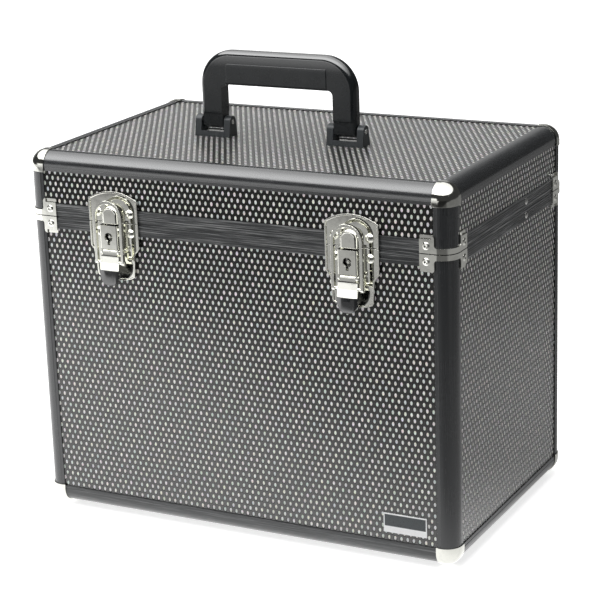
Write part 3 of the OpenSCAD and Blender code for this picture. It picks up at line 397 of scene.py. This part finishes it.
def dot_pattern_group():
    """Staggered rows of oval dots: masks, among them a ring of painted shade, a tint for each dot and a height.
    """
    group, given, made = new_group(
        "Dot Pattern",
        [
            ("Place", "NodeSocketVector", None),
            ("Pitch", "NodeSocketFloat", 4.9),
            ("Row", "NodeSocketFloat", 4.44),
            ("Width", "NodeSocketFloat", 2.15),
            ("Height", "NodeSocketFloat", 3.4),
        ],
        [
            ("Dot", "NodeSocketFloat"),
            ("Painted Shade Ring", "NodeSocketFloat"),
            ("Tick", "NodeSocketFloat"),
            ("Bump", "NodeSocketFloat"),
            ("Tint", "NodeSocketColor"),
            ("Shade", "NodeSocketFloat"),
        ],
    )
    place = split(group, given["Place"])
    # Row and column of the dot; every other row is moved by half a pitch
    row_place = over(group, place["Y"], given["Row"])
    row = math_node(group, "FLOOR", row_place)
    shift = times(group, math_node(group, "FLOORED_MODULO", row, 2.0), 0.5)
    column_place = plus(group, over(group, place["X"], given["Pitch"]), shift)
    column = math_node(group, "FLOOR", column_place)
    # Distance from the middle of the dot's cell, in millimetres
    across = times(group, minus(group, minus(group, column_place, column), 0.5), given["Pitch"])
    along = times(group, minus(group, minus(group, row_place, row), 0.5), given["Row"])
    # Chance values, one for each cell
    cell = group.nodes.new("ShaderNodeCombineXYZ")
    group.links.new(column, cell.inputs[0])
    group.links.new(row, cell.inputs[1])
    chance = group.nodes.new("ShaderNodeTexWhiteNoise")
    chance.noise_dimensions = "3D"
    group.links.new(cell.outputs[0], chance.inputs["Vector"])
    # Reach is 1 on the outline of the oval
    half_width = times(group, given["Width"], 0.5)
    half_height = times(group, given["Height"], 0.5)
    u = over(group, across, half_width)
    v = over(group, along, half_height)
    reach = radius(group, u, v)
    dot = ramp(group, reach, 1.06, 0.86)
    group.links.new(dot, made["Dot"])
    # Painted shade: a dark ring round the dot, wider towards the lower left, standing in for the shade on the
    # slopes of the raised dot
    slope = plus(group, v, times(group, u, 0.5))
    wide = plus(group, 1.62, times(group, slope, -0.14))
    painted_shade_ring = ramp(group, over(group, reach, wide), 1.0, 0.66)
    group.links.new(minus(group, painted_shade_ring, dot, clamp=True), made["Painted Shade Ring"])
    # Short upright line between two dots of a row
    between = minus(group, times(group, given["Pitch"], 0.5), unsigned(group, across))
    tick_width = ramp(group, between, 0.34, 0.14)
    tick_length = ramp(group, unsigned(group, v), 0.85, 0.45)
    tick = times(group, tick_width, tick_length)
    group.links.new(tick, made["Tick"])
    dome = ramp(group, reach, 1.35, 0.35)
    group.links.new(plus(group, dome, times(group, tick, 0.25)), made["Bump"])
    group.links.new(chance.outputs["Color"], made["Tint"])
    group.links.new(chance.outputs["Value"], made["Shade"])
    return group


def grain_group():
    """Fine streaks along one direction, for anodised metal."""
    group, given, made = new_group(
        "Drawn Grain",
        [("Place", "NodeSocketVector", None), ("Scale", "NodeSocketFloat", 1.0)],
        [("Streak", "NodeSocketFloat"), ("Cloud", "NodeSocketFloat")],
    )
    coarse = times(group, given["Scale"], 0.13)
    for title, scale, detail in (("Streak", given["Scale"], 3.0), ("Cloud", coarse, 2.0)):
        node = group.nodes.new("ShaderNodeTexNoise")
        node.inputs["Detail"].default_value = detail
        group.links.new(given["Place"], node.inputs["Vector"])
        group.links.new(scale, node.inputs["Scale"])
        group.links.new(node.outputs["Fac"], made[title])
    return group


def handling_group():
    """Faint smudges and specks of dust over the surface."""
    group, given, made = new_group(
        "Handling",
        [("Place", "NodeSocketVector", None), ("Size", "NodeSocketFloat", 20.0)],
        [("Smudge", "NodeSocketFloat"), ("Dust", "NodeSocketFloat")],
    )
    place = group.nodes.new("ShaderNodeVectorMath")
    place.operation = "DIVIDE"
    group.links.new(given["Place"], place.inputs[0])
    group.links.new(given["Size"], place.inputs[1])
    patches = noise(group, place.outputs[0], 1.0, 4.0, 0.6)
    group.links.new(ramp(group, patches, 0.42, 0.72), made["Smudge"])
    specks = noise(group, place.outputs[0], 14.0, 2.0, 0.5)
    group.links.new(ramp(group, specks, 0.68, 0.78), made["Dust"])
    return group


GROUPS = {}


def shared_group(name):
    """One of the node groups, which are all built at the first call."""
    if not GROUPS:
        GROUPS.update(dots=dot_pattern_group(), grain=grain_group(), handling=handling_group())
    return GROUPS[name]


# ---------------------------------------------------------------- materials


def new_surface(name, **values):
    """A material with its tree and Principled BSDF; values by name, underscores for spaces."""
    material = bpy.data.materials.new(name)
    tree = node_tree(material)
    bsdf = tree.nodes.new("ShaderNodeBsdfPrincipled")
    out = tree.nodes.new("ShaderNodeOutputMaterial")
    tree.links.new(bsdf.outputs[0], out.inputs[0])
    for title, value in values.items():
        bsdf.inputs[title.replace("_", " ")].default_value = value
    return material, tree, bsdf


def bump(tree, bsdf, height, distance, strength=1.0):
    """Feeds a height to the shader's normal; distance is in millimetres."""
    node = tree.nodes.new("ShaderNodeBump")
    node.inputs["Strength"].default_value = strength
    node.inputs["Distance"].default_value = distance * MM
    tree.links.new(height, node.inputs["Height"])
    tree.links.new(node.outputs[0], bsdf.inputs["Normal"])


def dusted(tree, bsdf, hand, amount, colour, dust):
    """Feeds a colour with specks of dust to the shader."""
    result = mixed(tree, times(tree, hand["Dust"], amount), colour, dust)
    tree.links.new(result, bsdf.inputs["Base Color"])


def dotted_film(name, axes, pitch, row, start, haze, bright=1.0, gloss=1.0, fade=None):
    """Glossy black film with raised glitter dots, laid along two axes, in millimetres.

    The corner of a dot's cell lies at start, haze is the roughness of the gloss and bright
    the tone of the dots. fade replaces gloss where the gloss changes with height: two
    heights, and the strength at each.
    """
    finish = bpy.context.scene.vanity_finish
    material, tree, bsdf = new_surface(name, IOR=1.25, Coat_IOR=1.6, Coat_Roughness=haze)
    place = split(tree, millimetres(tree))
    sheet = tree.nodes.new("ShaderNodeCombineXYZ")
    for i in range(2):
        tree.links.new(minus(tree, place[axes[i]], start[i]), sheet.inputs[i])
    flat = sheet.outputs[0]
    dots = use_group(
        tree, "dots", Place=flat, Pitch=pitch, Row=row,
        Width=finish.dot_width / MM, Height=finish.dot_height / MM,
    )
    # Glitter: a tint for each dot, coloured flecks and a grey that varies inside the dot
    glitter = noise(tree, flat, 2.3, 3.0, 0.7)
    fleck = tree.nodes.new("ShaderNodeTexVoronoi")
    fleck.inputs["Scale"].default_value = 1.15
    tree.links.new(flat, fleck.inputs["Vector"])
    tint = mixed(tree, 0.07, toned(finish.dot, bright), dots["Tint"])
    tint = mixed(tree, 0.14, tint, fleck.outputs["Color"])
    dot_shade = ramp(tree, dots["Shade"], 0.0, 1.0, 0.8, 1.0)
    shade = times(tree, dot_shade, ramp(tree, glitter, 0.3, 0.62, 0.38, 1.32))
    grey = tree.nodes.new("ShaderNodeCombineColor")
    for i in range(3):
        tree.links.new(shade, grey.inputs[i])
    dot_colour = mixed(tree, 1.0, tint, grey.outputs[0], "MULTIPLY")
    base = mixed(tree, dots["Tick"], finish.film, (0.02, 0.019, 0.017))
    # Painted shade: the film goes near black in the ring round each dot
    base = mixed(tree, dots["Painted Shade Ring"], base, (0.002, 0.002, 0.002))
    base = mixed(tree, dots["Dot"], base, dot_colour)
    tree.links.new(base, bsdf.inputs["Base Color"])
    dot_rough = ramp(tree, dots["Dot"], 0.0, 1.0, 0.5, 0.35)
    tree.links.new(plus(tree, dot_rough, times(tree, glitter, 0.1)), bsdf.inputs["Roughness"])
    # The clear gloss is weaker on the dots and weakest in the ring of painted shade round them
    dulled = plus(tree, times(tree, dots["Painted Shade Ring"], 0.72), times(tree, dots["Dot"], 0.5))
    clear = minus(tree, plus(tree, 0.9, times(tree, glitter, 0.2)), dulled, clamp=True)
    if fade:
        gloss = ramp(tree, place["Z"], *fade)
    tree.links.new(times(tree, clear, gloss), bsdf.inputs["Coat Weight"])
    relief = plus(tree, dots["Bump"], times(tree, times(tree, glitter, dots["Dot"]), 0.6))
    bump(tree, bsdf, relief, 0.25, 0.8)
    return material


def anodised(name, axis, rough, drawn_and_sheen=0.0, ior=1.85):
    """Black anodised aluminium with its grain along one axis; the argument after the roughness sets the
    strength of long wavy streaks: real drawing marks, painted light grey as a sheen.
    """
    profile = bpy.context.scene.vanity_finish.profile
    material, tree, bsdf = new_surface(name, IOR=ior)
    place = stretched(tree, millimetres(tree), axis, 0.012, 0.9)
    grain = use_group(tree, "grain", Place=place, Scale=3.0)
    hand = use_group(tree, "handling", Place=millimetres(tree), Size=45.0)
    colour = mixed(tree, grain["Cloud"], toned(profile, 0.75), toned(profile, 1.3))
    if drawn_and_sheen:
        # Long wavy streaks: real drawing marks, their light grey a painted sheen
        waves = noise(tree, stretched(tree, millimetres(tree), axis, 0.03, 1.1), 1.0, 4.0, 0.6)
        colour = mixed(tree, ramp(tree, waves, 0.44, 0.7, 0.0, drawn_and_sheen), colour, (0.26, 0.265, 0.265))
    dusted(tree, bsdf, hand, 0.05, colour, (0.2, 0.2, 0.2))
    # Streaks and smudges add about 0.08
    gloss = weighed(tree, grain["Streak"], 0.12, hand["Smudge"], 0.06, rough - 0.08)
    tree.links.new(gloss, bsdf.inputs["Roughness"])
    bump(tree, bsdf, grain["Streak"], 0.03, 0.35)
    return material


def plated(name, colour, rough, wave, smudge=0.08):
    """Plated or bare metal with faint waves from pressing and smudges from handling."""
    material, tree, bsdf = new_surface(name, Metallic=1.0)
    place = millimetres(tree)
    hand = use_group(tree, "handling", Place=place, Size=9.0)
    slow = noise(tree, place, 0.16, 1.0)
    fine = noise(tree, place, 2.6, 2.0)
    tone = mixed(tree, hand["Smudge"], colour, toned(colour, 0.86))
    dusted(tree, bsdf, hand, 0.08, tone, toned(colour, 0.5))
    gloss = weighed(tree, hand["Smudge"], smudge, fine, 0.02, rough)
    tree.links.new(gloss, bsdf.inputs["Roughness"])
    bump(tree, bsdf, plus(tree, slow, times(tree, fine, 0.01)), wave)
    return material


def moulded(name, colour, rough, grain, ior=1.5, highlight_heights=None):
    """Moulded plastic or rubber with a fine grain.

    The optional last argument gives the two heights, in millimetres, between which a clear gloss sets in; that
    gloss band is a painted highlight along the top of the piece.
    """
    material, tree, bsdf = new_surface(name, IOR=ior, Coat_IOR=1.75, Coat_Roughness=0.06)
    place = millimetres(tree)
    if highlight_heights:
        height = split(tree, place)["Z"]
        tree.links.new(ramp(tree, height, *highlight_heights), bsdf.inputs["Coat Weight"])
    hand = use_group(tree, "handling", Place=place, Size=16.0)
    grit = noise(tree, place, 3.2, 3.0, 0.6)
    slow = noise(tree, place, 0.12, 2.0)
    tone = mixed(tree, slow, toned(colour, 0.8), toned(colour, 1.25))
    dusted(tree, bsdf, hand, 0.06, tone, (0.25, 0.25, 0.25))
    # Smudges and grit add about 0.03
    gloss = weighed(tree, hand["Smudge"], 0.08, grit, 0.06, rough - 0.03)
    tree.links.new(gloss, bsdf.inputs["Roughness"])
    bump(tree, bsdf, grit, grain)
    return material


def felt(name, colour):
    """Flocked lining cloth."""
    material, tree, bsdf = new_surface(name, Roughness=0.95, Sheen_Weight=0.35, Sheen_Roughness=0.4)
    place = millimetres(tree)
    fibre = noise(tree, place, 2.4, 5.0, 0.75)
    nap = noise(tree, place, 0.05, 3.0, 0.6)
    tone = mixed(tree, nap, toned(colour, 0.7), toned(colour, 1.7))
    tone = mixed(tree, ramp(tree, fibre, 0.35, 0.75), tone, toned(colour, 2.2))
    tree.links.new(tone, bsdf.inputs["Base Color"])
    bump(tree, bsdf, fibre, 0.25, 0.7)
    return material


def badge_finish(name, size):
    """Enamelled plate: bright border and lower band round a dark field, without any lettering."""
    material, tree, bsdf = new_surface(name, IOR=1.5)
    place = split(tree, millimetres(tree))
    half_width, half_height = size.badge_width / MM / 2, size.badge_height / MM / 2
    x = unsigned(tree, minus(tree, place["X"], size.badge_x / MM))
    z = minus(tree, place["Z"], size.badge_z / MM)
    within_width = ramp(tree, x, *(half_width - d for d in BADGE_BORDER))
    below_top = ramp(tree, z, *(half_height - d for d in BADGE_BORDER))
    above_band = ramp(tree, z, BADGE_BAND * half_height, 0.2 + BADGE_BAND * half_height)
    field = times(tree, times(tree, within_width, below_top), above_band)
    grit = noise(tree, millimetres(tree), 1.6, 3.0)
    light = mixed(tree, grit, (0.78, 0.79, 0.80), (0.90, 0.90, 0.90))
    dark = mixed(tree, grit, (0.014, 0.020, 0.023), (0.024, 0.031, 0.035))
    tree.links.new(mixed(tree, field, light, dark), bsdf.inputs["Base Color"])
    tree.links.new(ramp(tree, grit, 0.0, 1.0, 0.22, 0.4), bsdf.inputs["Roughness"])
    bump(tree, bsdf, field, -0.15, 0.6)
    return material


def make_finishes(finish, size):
    """All materials of the case, by short names."""
    pitch, row = finish.dot_pitch / MM, finish.dot_row / MM
    front = ((0, 2), pitch, row, (FIRST_DOT[0] - pitch / 2, FIRST_DOT[1] - row / 2))
    return dict(
        film_front=dotted_film("Dotted film front", *front, haze=0.18, fade=(150.0, 236.0, 1.0, 0.5)),
        film_lid=dotted_film("Dotted film lid", *front, haze=0.22, gloss=0.12),
        film_side=dotted_film("Dotted film side", (1, 2), *SIDE_DOTS, haze=0.25),
        film_flat=dotted_film("Dotted film top", (0, 1), *FLAT_DOTS, haze=0.28, bright=0.78),
        rim_x=anodised("Drawn rim along X", 0, 0.36, drawn_and_sheen=0.75, ior=1.5),
        rim_y=anodised("Drawn rim along Y", 1, 0.36, drawn_and_sheen=0.75, ior=1.7),
        black_x=anodised("Anodised along X", 0, 0.22),
        # Painted shade: the bottom profiles get a duller, less glossy copy of the anodised finish so they come
        # out darker
        low_x=anodised("Duller base profile along X", 0, 0.34, drawn_and_sheen=0.25, ior=1.5),
        low_y=anodised("Duller base profile along Y", 1, 0.34, drawn_and_sheen=0.25, ior=1.5),
        black_y=anodised("Anodised along Y", 1, 0.22),
        black_z=anodised("Anodised along Z", 2, 0.26, ior=1.58),
        chrome=plated("Chrome plate", finish.chrome, 0.03, wave=0.012, smudge=0.04),
        cap=plated("Polished cap", toned(finish.chrome, 0.62), 0.08, wave=0.008),
        rivet=plated("Satin rivet", toned(finish.chrome, 0.9), 0.2, wave=0.01),
        steel=plated("Zinc plated steel", finish.steel, 0.24, wave=0.02),
        # Painted shade and highlight on the handle: its plastic colour is toned down to 0.6, and a clear gloss
        # between 341 and 351 mm paints a highlight along its top
        handle=moulded(
            "Handle plastic", toned(finish.plastic, 0.6), 0.14, grain=0.008, ior=1.43, highlight_heights=(341.0, 351.0)
        ),
        bracket=moulded("Bracket plastic", toned(finish.plastic, 1.1), 0.38, grain=0.03),
        tip=moulded("Glossy tip plastic", (0.004, 0.005, 0.006), 0.08, grain=0.004, ior=1.85),
        rubber=moulded("Rubber", (0.018, 0.018, 0.018), 0.6, grain=0.05),
        cloth=felt("Flocked lining", finish.cloth),
        badge=badge_finish("Badge enamel", size),
    )


FINISHES = {}


def finish_of(name):
    """One of the materials, which are all made at the first call."""
    if not FINISHES:
        scene = bpy.context.scene
        FINISHES.update(make_finishes(scene.vanity_finish, scene.vanity_sizes))
    return FINISHES[name]


# ---------------------------------------------------------------- mesh helpers


def select_only(obj):
    """Makes one object the active and only selected one."""
    bpy.ops.object.select_all(action="DESELECT")
    obj.select_set(True)
    bpy.context.view_layer.objects.active = obj


def cut_loose(node, name):
    """A copy of a CAD node's mesh as an object of its own, with its corners merged."""
    source = frame["nodes"][node]
    obj = bpy.data.objects.new(name, source.data.copy())
    bpy.context.scene.collection.objects.link(obj)
    select_only(obj)
    bpy.ops.object.mode_set(mode="EDIT")
    bpy.ops.mesh.select_all(action="SELECT")
    bpy.ops.mesh.remove_doubles(threshold=MERGE_DISTANCE)
    bpy.ops.mesh.dissolve_limited(angle_limit=FLAT_ANGLE, delimit=set())
    bpy.ops.object.mode_set(mode="OBJECT")
    return obj


def bevelled(obj, width, segments=2):
    """Rounds the sharp edges of an object and shades it."""
    select_only(obj)
    bpy.ops.object.modifier_add(type="BEVEL")
    modifier = obj.modifiers[-1]
    modifier.width = width
    modifier.segments = segments
    modifier.limit_method = "ANGLE"
    modifier.angle_limit = BEVEL_ANGLE
    modifier.miter_outer = "MITER_ARC"
    bpy.ops.object.modifier_apply(modifier=modifier.name)
    bpy.ops.object.shade_smooth_by_angle(angle=SMOOTH_ANGLE)
    bpy.ops.object.modifier_add(type="WEIGHTED_NORMAL")
    obj.modifiers[-1].keep_sharp = True
    bpy.ops.object.modifier_apply(modifier=obj.modifiers[-1].name)
    return obj


def placed(obj, finish, body, slot, *nodes):
    """Gives a piece its finish and its body and hides the nodes it stands for; slot is not used."""
    obj.data.materials.clear()
    obj.data.materials.append(finish_of(finish))
    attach(obj, body)
    if nodes:
        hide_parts(*nodes)


def dressed(nodes, finish, slot, width, segments=2):
    """Makes finely edged copies that stand for CAD nodes, one for each."""
    for node in nodes:
        obj = bevelled(cut_loose(node, node + "_finished"), width, segments)
        placed(obj, finish, frame["nodes"][node]["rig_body"], slot, node)


def painted(node, finish):
    """Gives a CAD node that stays its finish."""
    obj = frame["nodes"][node]
    material = finish_of(finish)
    if not obj.data.materials:
        obj.data.materials.append(material)
    for slot in obj.material_slots:
        slot.material = material


# ---------------------------------------------------------------- operators


class VANITY_OT_panels(bpy.types.Operator):
    """Lays the dotted film on the boards"""

    bl_idname = "vanity.panels"
    bl_label = "Dotted boards"

    def execute(self, context):
        for node in frame["nodes"]:
            if not node.endswith("_panel"):
                continue
            if "left" in node or "right" in node:
                painted(node, "film_side")
            elif node in ("top_panel", "bottom_panel"):
                painted(node, "film_flat")
            elif node == "lid_front_panel":
                painted(node, "film_lid")
            else:
                painted(node, "film_front")
        return {"FINISHED"}


class VANITY_OT_profiles(bpy.types.Operator):
    """Finishes the edge profiles, posts and rims"""

    bl_idname = "vanity.profiles"
    bl_label = "Edge profiles"

    def execute(self, context):
        width = context.scene.vanity_sizes.profile_bevel
        finishes = {
            "black_x": ("top_long_edges",),
            "black_y": ("top_side_edges",),
            "low_x": ("bottom_long_edges",),
            "low_y": ("bottom_side_edges",),
            "black_z": ("body_corner_posts", "lid_corner_posts"),
            "rim_x": ("body_long_rims", "lid_long_rims"),
            "rim_y": ("body_side_rims", "lid_side_rims"),
        }
        for finish, nodes in finishes.items():
            dressed(nodes, finish, "black_profile", width, 1)
        return {"FINISHED"}


class VANITY_OT_corners(bpy.types.Operator):
    """Finishes the ball caps and corner braces with their rivets"""

    bl_idname = "vanity.corners"
    bl_label = "Corner fittings"

    def execute(self, context):
        width = context.scene.vanity_sizes.metal_bevel
        dressed(("bottom_corner_caps", "top_corner_caps"), "cap", "chrome", width)
        dressed(("body_braces", "lid_braces"), "chrome", "chrome", 1.4 * width, 3)
        dressed(("body_brace_rivets", "lid_brace_rivets"), "rivet", "steel", width / 2)
        return {"FINISHED"}


class VANITY_OT_hinges(bpy.types.Operator):
    """Finishes the hinges and the lid stays"""

    bl_idname = "vanity.hinges"
    bl_label = "Hinges and stays"

    def execute(self, context):
        width = context.scene.vanity_sizes.metal_bevel
        dressed(("body_hinge_leaves", "lid_hinge_leaves"), "chrome", "chrome", width)
        small = (
            "hinge_pins", "body_hinge_rivets", "lid_hinge_rivets",
            "body_stay_pins", "lid_stay_pins", "left_stay", "right_stay",
        )
        dressed(small, "steel", "steel", width / 2)
        return {"FINISHED"}


class VANITY_OT_latches(bpy.types.Operator):
    """Finishes the latches with levers, bails and locks"""

    bl_idname = "vanity.latches"
    bl_label = "Draw latches"

    def execute(self, context):
        width = context.scene.vanity_sizes.metal_bevel
        pressed = ("latch_base_plates", "catch_plates", "lock_cases", "left_lever", "right_lever")
        dressed(pressed, "chrome", "chrome", 1.6 * width, 3)
        dressed(("body_latch_rivets", "lid_latch_rivets"), "rivet", "chrome", width)
        dressed(("left_bail", "right_bail"), "chrome", "chrome", 4.4 * width, 4)
        dressed(("lever_pins", "left_lock_bolt", "right_lock_bolt"), "steel", "steel", width / 2)
        dressed(("left_lever_tip", "right_lever_tip"), "tip", "black_plastic", 5 * width, 4)
        return {"FINISHED"}


class VANITY_OT_handle(bpy.types.Operator):
    """Finishes the carrying handle with its grip pad and brackets"""

    bl_idname = "vanity.handle"
    bl_label = "Handle"

    def execute(self, context):
        width = context.scene.vanity_sizes.plastic_bevel
        dressed(("handle_frame",), "handle", "black_plastic", 1.6 * width, 3)
        dressed(("grip_pad",), "handle", "black_plastic", 1.2 * width, 3)
        dressed(("handle_brackets",), "bracket", "black_plastic", width)
        dressed(("bracket_plates", "bracket_screws", "handle_pins"), "steel", "steel", 0.3 * width)
        return {"FINISHED"}


class VANITY_OT_inside(bpy.types.Operator):
    """Finishes the lining and the feet"""

    bl_idname = "vanity.inside"
    bl_label = "Lining and feet"

    def execute(self, context):
        width = context.scene.vanity_sizes.plastic_bevel
        dressed(("body_lining", "lid_lining"), "cloth", "lining", width)
        dressed(("feet",), "rubber", "rubber", 1.4 * width, 3)
        dressed(("foot_screws",), "steel", "steel", 0.3 * width)
        return {"FINISHED"}


class VANITY_OT_badge(bpy.types.Operator):
    """Makes the blank badge plate at the lower right of the front"""

    bl_idname = "vanity.badge"
    bl_label = "Badge plate"

    def execute(self, context):
        size = context.scene.vanity_sizes
        middle = (size.badge_x, FACE_Y - BADGE_THICKNESS / 2, size.badge_z)
        bpy.ops.object.select_all(action="DESELECT")
        bpy.ops.mesh.primitive_cube_add(size=1, location=middle)
        obj = context.active_object
        obj.name = "badge_plate"
        obj.scale = (size.badge_width, BADGE_THICKNESS, size.badge_height)
        bpy.ops.object.transform_apply(location=True, rotation=True, scale=True)
        placed(bevelled(obj, BADGE_BEVEL), "badge", "case", "chrome")
        return {"FINISHED"}


class VANITY_OT_stage(bpy.types.Operator):
    """Sets up the floor, the light and the camera"""

    bl_idname = "vanity.stage"
    bl_label = "Stage"

    def execute(self, context):
        settings = context.scene.vanity_stage
        self.add_floor()
        self.add_world(context.scene)
        self.add_light(*OVERHEAD, settings.overhead)
        self.add_light(*FRONT_FILL, settings.fill)
        self.add_camera(context.scene, settings)
        context.scene.view_settings.view_transform = "Standard"
        return {"FINISHED"}

    def add_floor(self):
        """A pale floor that goes over into white away from the case."""
        bpy.ops.object.select_all(action="DESELECT")
        bpy.ops.mesh.primitive_grid_add(size=FLOOR_SIZE, x_subdivisions=2, y_subdivisions=2, location=(0, 0, 0))
        floor = bpy.context.active_object
        floor.name = "studio_floor"
        material = bpy.data.materials.new("Pale floor")
        tree = node_tree(material)
        out = tree.nodes.new("ShaderNodeOutputMaterial")
        paper = tree.nodes.new("ShaderNodeBsdfDiffuse")
        paper.inputs["Color"].default_value = FLOOR_GREY
        away = tree.nodes.new("ShaderNodeVectorMath")
        away.operation = "LENGTH"
        tree.links.new(coordinates(tree), away.inputs[0])
        lit = tree.nodes.new("ShaderNodeEmission")
        tree.links.new(ramp(tree, away.outputs["Value"], 0.5, 1.6, 0.72, 1.0), lit.inputs["Strength"])
        white = tree.nodes.new("ShaderNodeAddShader")
        tree.links.new(paper.outputs[0], white.inputs[0])
        tree.links.new(lit.outputs[0], white.inputs[1])
        pools = tree.nodes.new("ShaderNodeEmission")
        tree.links.new(self.floor_glow(tree), pools.inputs["Strength"])
        shader = by_ray(tree, paper.outputs[0], pools.outputs[0], white.outputs[0])
        tree.links.new(shader, out.inputs[0])
        floor.data.materials.append(material)

    def floor_glow(self, tree):
        """How bright the floor is in reflections: pools of light near the case, dim farther off."""
        place = split(tree, coordinates(tree))
        x, y = place["X"], place["Y"]
        # In front: bright close to the case, and dimmer in two steps towards the front right
        slant = minus(tree, times(tree, x, 0.6), times(tree, y, 0.8))
        front = ramp(tree, slant, 0.38, 0.14, 0.42, 2.15)
        front = times(tree, front, ramp(tree, slant, 0.6, 0.7, 1.0, 0.3))
        # At the right and behind: the same all round
        back = ramp(tree, radius(tree, x, y), 0.85, 0.4, 0.28, 0.62)
        side = ramp(tree, plus(tree, x, y), -0.05, 0.35)
        near = plus(tree, times(tree, front, minus(tree, 1.0, side)), times(tree, back, side))
        near = times(tree, near, ramp(tree, y, -1.06, -0.97, 0.2, 1.0))
        # A light field far in front, left of the middle
        far = times(tree, ramp(tree, y, -1.2, -1.4, 0.0, 1.1), ramp(tree, x, 0.0, -0.25))
        return plus(tree, near, far)

    def add_world(self, scene):
        """A white background in a grey room, with a glow of its own in reflections."""
        world = bpy.data.worlds.new("Studio")
        scene.world = world
        tree = node_tree(world)
        out = tree.nodes.new("ShaderNodeOutputWorld")
        room = tree.nodes.new("ShaderNodeBackground")
        room.inputs["Color"].default_value = ROOM_GREY
        glow = tree.nodes.new("ShaderNodeBackground")
        tree.links.new(self.room_glow(tree), glow.inputs["Strength"])
        white = tree.nodes.new("ShaderNodeBackground")
        white.inputs["Color"].default_value = (1, 1, 1, 1)
        shader = by_ray(tree, room.outputs[0], glow.outputs[0], white.outputs[0])
        tree.links.new(shader, out.inputs[0])

    def room_glow(self, tree):
        """How bright the room is in reflections, by direction."""
        place = split(tree, coordinates(tree, "Generated"))
        x, y, z = place["X"], place["Y"], place["Z"]
        # Soft box overhead, brighter towards the front
        above = ramp(tree, z, 0.56, 0.61, 0.0, 3.0)
        above = times(tree, above, ramp(tree, y, 0.55, -0.55, 0.75, 2.2))
        # Dim card low down behind, at the left
        behind = times(tree, ramp(tree, y, 0.1, 0.6), ramp(tree, x, 0.1, -0.25))
        behind = times(tree, behind, ramp(tree, z, 0.44, 0.32, 0.0, 0.62))
        # Bright card low down at the front left
        card = times(tree, ramp(tree, y, -0.55, -0.75), ramp(tree, x, -0.15, -0.35))
        card = times(tree, card, ramp(tree, z, 0.2, 0.12, 0.0, 2.2))
        total = plus(tree, plus(tree, above, behind), card)
        return plus(tree, total, 0.08)

    def add_light(self, name, place, target, width, height, power):
        """One area light that isn't seen itself, neither straight nor in reflections."""
        bpy.ops.object.select_all(action="DESELECT")
        bpy.ops.object.light_add(type="AREA", location=place)
        light = bpy.context.active_object
        light.name = name
        light.data.shape = "RECTANGLE"
        light.data.size = width
        light.data.size_y = height
        light.data.energy = power
        light.rotation_euler = (Vector(target) - Vector(place)).to_track_quat("-Z", "Y").to_euler()
        light.visible_camera = False
        light.visible_glossy = False

    def add_camera(self, scene, settings):
        """The camera at the angle of the photograph."""
        a, e, r = settings.azimuth, settings.elevation, settings.roll
        back = Vector((math.sin(a) * math.cos(e), -math.cos(a) * math.cos(e), math.sin(e)))
        level = Vector((math.cos(a), math.sin(a), 0))
        up = back.cross(level)
        right = math.cos(r) * level + math.sin(r) * up
        upright = -math.sin(r) * level + math.cos(r) * up
        bpy.ops.object.camera_add()
        camera = bpy.context.active_object
        camera.name = "Photo view"
        camera.data.sensor_width = 36
        camera.data.lens = settings.lens
        place = Matrix.Translation(CAMERA_TARGET + back * settings.distance)
        camera.matrix_world = place @ Matrix((right, upright, back)).transposed().to_4x4()
        scene.camera = camera


class VANITY_PT_panel(bpy.types.Panel):
    """Lists the settings and steps of the vanity case"""

    bl_label = "Vanity Case"
    bl_idname = "VANITY_PT_panel"
    bl_space_type = "VIEW_3D"
    bl_region_type = "UI"
    bl_category = "Vanity Case"

    def draw(self, context):
        layout = self.layout
        for name in SETTINGS:
            group = getattr(context.scene, name)
            box = layout.box()
            for title in group.__annotations__:
                box.prop(group, title)
        for step in STEPS:
            layout.operator(step.bl_idname)


STEPS = (
    VANITY_OT_stage, VANITY_OT_panels, VANITY_OT_profiles, VANITY_OT_corners, VANITY_OT_hinges,
    VANITY_OT_latches, VANITY_OT_handle, VANITY_OT_inside, VANITY_OT_badge,
)
SETTINGS = {"vanity_finish": CaseFinish, "vanity_sizes": CaseSizes, "vanity_stage": StageSettings}
CLASSES = (*SETTINGS.values(), *STEPS, VANITY_PT_panel)


def register():
    for cls in CLASSES:
        bpy.utils.register_class(cls)
    for name, cls in SETTINGS.items():
        setattr(bpy.types.Scene, name, PointerProperty(type=cls))


def unregister():
    for name in SETTINGS:
        delattr(bpy.types.Scene, name)
    for cls in reversed(CLASSES):
        bpy.utils.unregister_class(cls)


def main():
    register()
    bpy.ops.vanity.stage()
    bpy.ops.vanity.panels()
    bpy.ops.vanity.profiles()
    bpy.ops.vanity.corners()
    bpy.ops.vanity.hinges()
    bpy.ops.vanity.latches()
    bpy.ops.vanity.handle()
    bpy.ops.vanity.inside()
    bpy.ops.vanity.badge()


if __name__ == "__main__":
    main()
